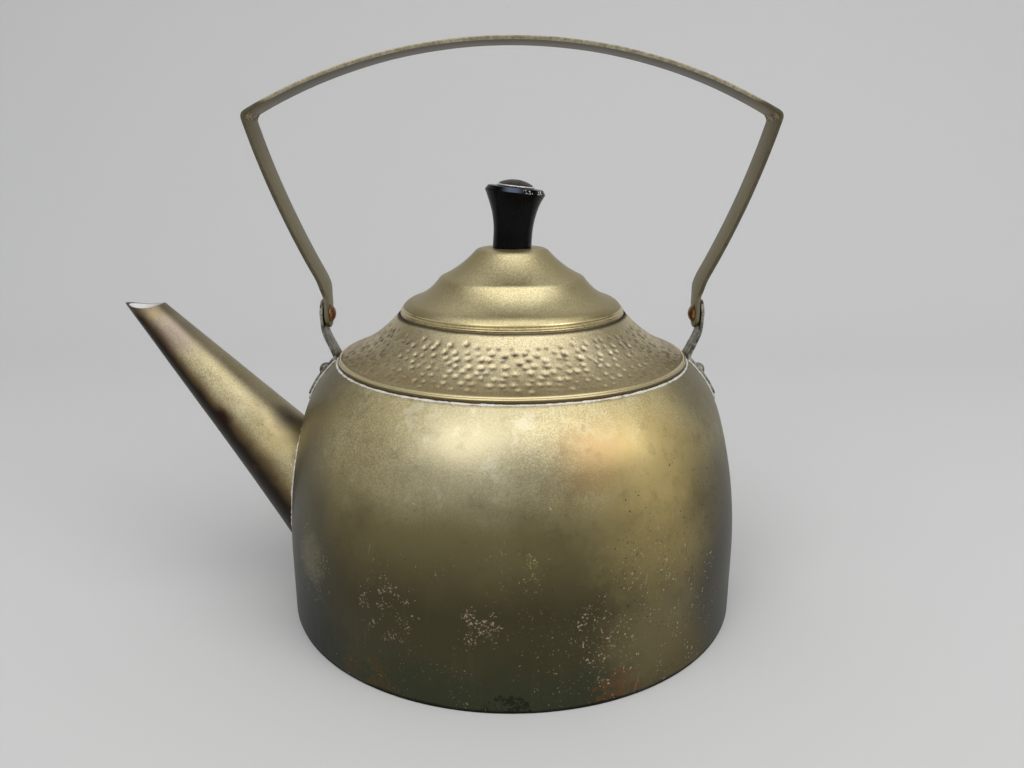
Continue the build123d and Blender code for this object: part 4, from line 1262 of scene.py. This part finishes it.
footRivetShape = {
    "head": 2.6, "headHeight": 1.7, "headSteps": 9, "shank": 1.5,
    "tail": 2.5, "tailHeight": 1.2, "tailSteps": 6, "tailDepth": 2.0,
    "sides": 48, "unevenness": 0.2, "unevenSize": 3,
}
heelAngle = shoulderAngle(drumShape["seat"] - lugShape["heelDrop"])
toeAngle = heelAngle - lugShape["footLength"] / drumShape["shoulderCurve"]


def lugRows():                                     # (x, z, half width) of the inner face, toe to eye
    shape = lugShape
    rows = []
    for along in shape["footRows"]:
        x, z = shoulderPoint(toeAngle + along / drumShape["shoulderCurve"], shape["gap"])
        short = max(0.0, shape["footRound"] - along)
        rows.append((x, z, shape["half"] - shape["footRound"]
                     + math.sqrt(shape["footRound"] ** 2 - short * short)))
    heel = shoulderPoint(heelAngle, shape["gap"])
    knee = (shape["inner"], pivotHeight - shape["straightDrop"])
    eyeTop = (shape["inner"], pivotHeight)
    strap = [tuple(Vector(heel).lerp(Vector(knee), part)) for part in (0, 0.25, 0.5, 0.75, 1)]
    strap += [tuple(Vector(knee).lerp(Vector(eyeTop), part)) for part in (0.5, 0.75, 1)]
    strap = roundCorner(strap, knee, shape["bend"])[1:]
    for x, z in strap:
        part = (z - heel[1]) / (pivotHeight - heel[1])
        rows.append((x, z, shape["half"] - shape["waist"] * math.sin(math.pi * min(1, part))))
    rows += [(shape["inner"], pivotHeight + shape["half"] * math.sin(math.radians(angle)),
              shape["half"] * math.cos(math.radians(angle))) for angle in shape["eyeAngles"]]
    return rows


def makeLugs():
    lug = bandAlong(lugRows(), (-1, 0, -0.4))
    thicken(lug, lugShape["thick"], 0, 0)
    softEdges(lug, lugShape["edge"])
    twin = mirrorCopy(lug)
    tidyFaces(twin)
    finishPiece(lug, "rearLug", "kettle", [lugMetal], "rear_lug", 35)
    finishPiece(twin, "spoutSideLug", "kettle", [lugMetal], "spout_side_lug", 35)


def makeLugSolder():                               # a film that creeps out from under the feet
    shape = filmShape
    start = toeAngle - shape["ahead"]
    rows = []
    for step in range(shape["rows"] + 1):
        angle = start + step / shape["rows"] * (heelAngle - toeAngle + shape["past"])
        x, z = shoulderPoint(angle, shape["lift"])
        rows.append((x, z, lugShape["half"] + (shape["toeWide"] if step == 0 else shape["wide"])))
    film = bandAlong(rows, (1, 0, 0.4))
    editAll(film)
    bpy.ops.mesh.subdivide(number_cuts=2)
    leaveEdit()
    thicken(film, shape["thick"], 0, 0)
    roughen(film, shape["lumpSize"], shape["lumps"])
    joinTo(film, mirrorCopy(film))
    tidyFaces(film)
    finishPiece(film, "lugSolder", "kettle", [solderTin], "lug_solder", 80)


def makePivotRivets():
    shape = rivetShape
    length = shape["tailAt"] - shape["headAt"]
    head = list(reversed(domeLine(shape["head"], shape["headHeight"], 0, shape["headSteps"], -1)))
    tail = domeLine(shape["tail"], shape["tailHeight"], length, shape["tailSteps"])
    rings = head + [(shape["shank"], 0), (shape["shank"], length)] + tail
    rivet = ringStack(rings, shape["sides"], True, True)
    roughen(rivet, shape["unevenSize"], shape["unevenness"])
    settle(rivet, (shape["headAt"], 0, pivotHeight), (0, 90, 0))
    for face in rivet.data.polygons:               # the peened tail has a finish of its own
        face.material_index = 1 if face.center.x > (shape["tailAt"] - shape["tailLook"]) * mm else 0
    twin = mirrorCopy(rivet)
    tidyFaces(twin)
    finishPiece(rivet, "rearPivotRivet", "kettle", [copperHead, darkRivet], "rear_pivot_rivet", 60)
    finishPiece(twin, "spoutSidePivotRivet", "kettle", [copperHead, lugMetal],
                "spout_side_pivot_rivet", 60)


def makeFootRivets():
    shape = footRivetShape
    tail = domeLine(shape["tail"], shape["tailHeight"], -shape["tailDepth"], shape["tailSteps"], -1)
    start = lugShape["gap"] + lugShape["thick"]
    rings = list(reversed(tail)) + [(shape["shank"], -shape["tailDepth"]), (shape["shank"], start)]
    rings += domeLine(shape["head"], shape["headHeight"], start, shape["headSteps"])
    foot = ringStack(rings, shape["sides"], True, True)
    roughen(foot, shape["unevenSize"], shape["unevenness"])
    angle = heelAngle - lugShape["rivetAlong"] / drumShape["shoulderCurve"]
    x, z = shoulderPoint(angle)
    settle(foot, (x, 0, z), (0, 90 - math.degrees(angle), 0))
    joinTo(foot, mirrorCopy(foot))
    tidyFaces(foot)
    finishPiece(foot, "footRivets", "kettle", [lugMetal], "lug_foot_rivets", 60)


makeLugs()
makeLugSolder()
makePivotRivets()
makeFootRivets()
print("pieces ready")


# The nodes that keep their own shape

for node, finish in {"base_solder": solderTin, "lug_rivet_washers": lugMetal, "lid_skirt": innerTin,
                     "knob_backing_washer": innerTin}.items():
    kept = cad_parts[node]
    kept.data.materials.clear()
    kept.data.materials.append(finish)


# Floor, lights and camera, in metres

stageLook = {
    "floor": (220, 220, 218), "roughness": 0.7, "specular": 0.2,
    "size": 4.0, "wide": 1.6, "backAt": 0.9, "backHeight": 2.2, "sweep": 0.5, "sweepSteps": 12,
    "airBelow": (0.40, 0.41, 0.42, 1), "airAbove": (0.60, 0.61, 0.63, 1), "airFrom": -0.1, "airTo": 0.8,
    "airStrength": 0.8,
}
lights = {                                         # place, size and strength
    "above": ((0.10, -0.60, 1.36), (2.3, 1.2), 8.8),
    "left": ((-0.60, -1.00, 0.95), (0.6, 0.6), 2.0),
    "right": ((1.10, -0.90, 0.85), (0.7, 0.6), 4.2),
}
lightsAim = (0, 0, 0.1)                            # the kettle's middle
cameraShape = {"place": (0, -0.3201, 0.1780), "tilt": 74.42, "sensor": 36, "lens": 28.125, "near": 0.01}


def makeStage():
    shape = stageLook
    openClean()
    bpy.ops.mesh.primitive_plane_add(size=shape["size"], location=(0, 0, 0))
    floor = bpy.context.object
    floor.scale = (shape["wide"], 1, 1)
    floor.location.y = shape["backAt"] - shape["size"] / 2
    settle(floor)
    selectPoints(floor, lambda vertex: vertex.co.y > 0)
    bpy.ops.mesh.extrude_region_move(TRANSFORM_OT_translate={"value": (0, 0, shape["backHeight"])})
    leaveEdit()
    useModifier(floor, "BEVEL", width=shape["sweep"], segments=shape["sweepSteps"], limit_method="ANGLE")
    floor.name = "floor"
    paint = bpy.data.materials.new("paleFloor")
    paint.use_nodes = True
    shader = paint.node_tree.nodes["Principled BSDF"]
    shader.inputs["Base Color"].default_value = screenColour(*shape["floor"])
    shader.inputs["Roughness"].default_value = shape["roughness"]
    shader.inputs["Specular IOR Level"].default_value = shape["specular"]
    floor.data.materials.append(paint)
    makeActive(floor)
    bpy.ops.object.shade_smooth_by_angle(angle=math.radians(40))


def makeLights():
    for name, (spotAt, size, watts) in lights.items():
        openClean()
        bpy.ops.object.light_add(type="AREA", location=spotAt)
        lamp = bpy.context.object
        lamp.name = name
        lamp.data.shape = "RECTANGLE"
        lamp.data.size, lamp.data.size_y = size
        lamp.data.energy = watts
        lamp.rotation_euler = (Vector(lightsAim) - Vector(spotAt)).to_track_quat("-Z", "Y").to_euler()


def makeAir():                                     # a pale world, a little lighter overhead
    shape = stageLook
    world = bpy.context.scene.world or bpy.data.worlds.new("air")
    bpy.context.scene.world = world
    world.use_nodes = True
    tree = world.node_tree
    tree.nodes.clear()
    upward = addNode(tree, "SeparateXYZ", {0: addNode(tree, "TexCoord").outputs["Generated"]}).outputs[2]
    overhead = ramp(tree, upward, shape["airFrom"], shape["airTo"])
    sky = blend(tree, overhead, shape["airBelow"], shape["airAbove"])
    air = addNode(tree, "Background", {"Color": sky, "Strength": shape["airStrength"]})
    out = addNode(tree, "OutputWorld")
    tree.links.new(air.outputs[0], out.inputs[0])


def makeCamera():
    shape = cameraShape
    openClean()
    bpy.ops.object.camera_add(location=shape["place"], rotation=(math.radians(shape["tilt"]), 0, 0))
    camera = bpy.context.object
    camera.data.sensor_width = shape["sensor"]
    camera.data.lens = shape["lens"]
    camera.data.clip_start = shape["near"]
    bpy.context.scene.camera = camera


makeStage()
makeLights()
makeAir()
makeCamera()
bpy.context.scene.view_settings.view_transform = "Standard"
print("stage ready")
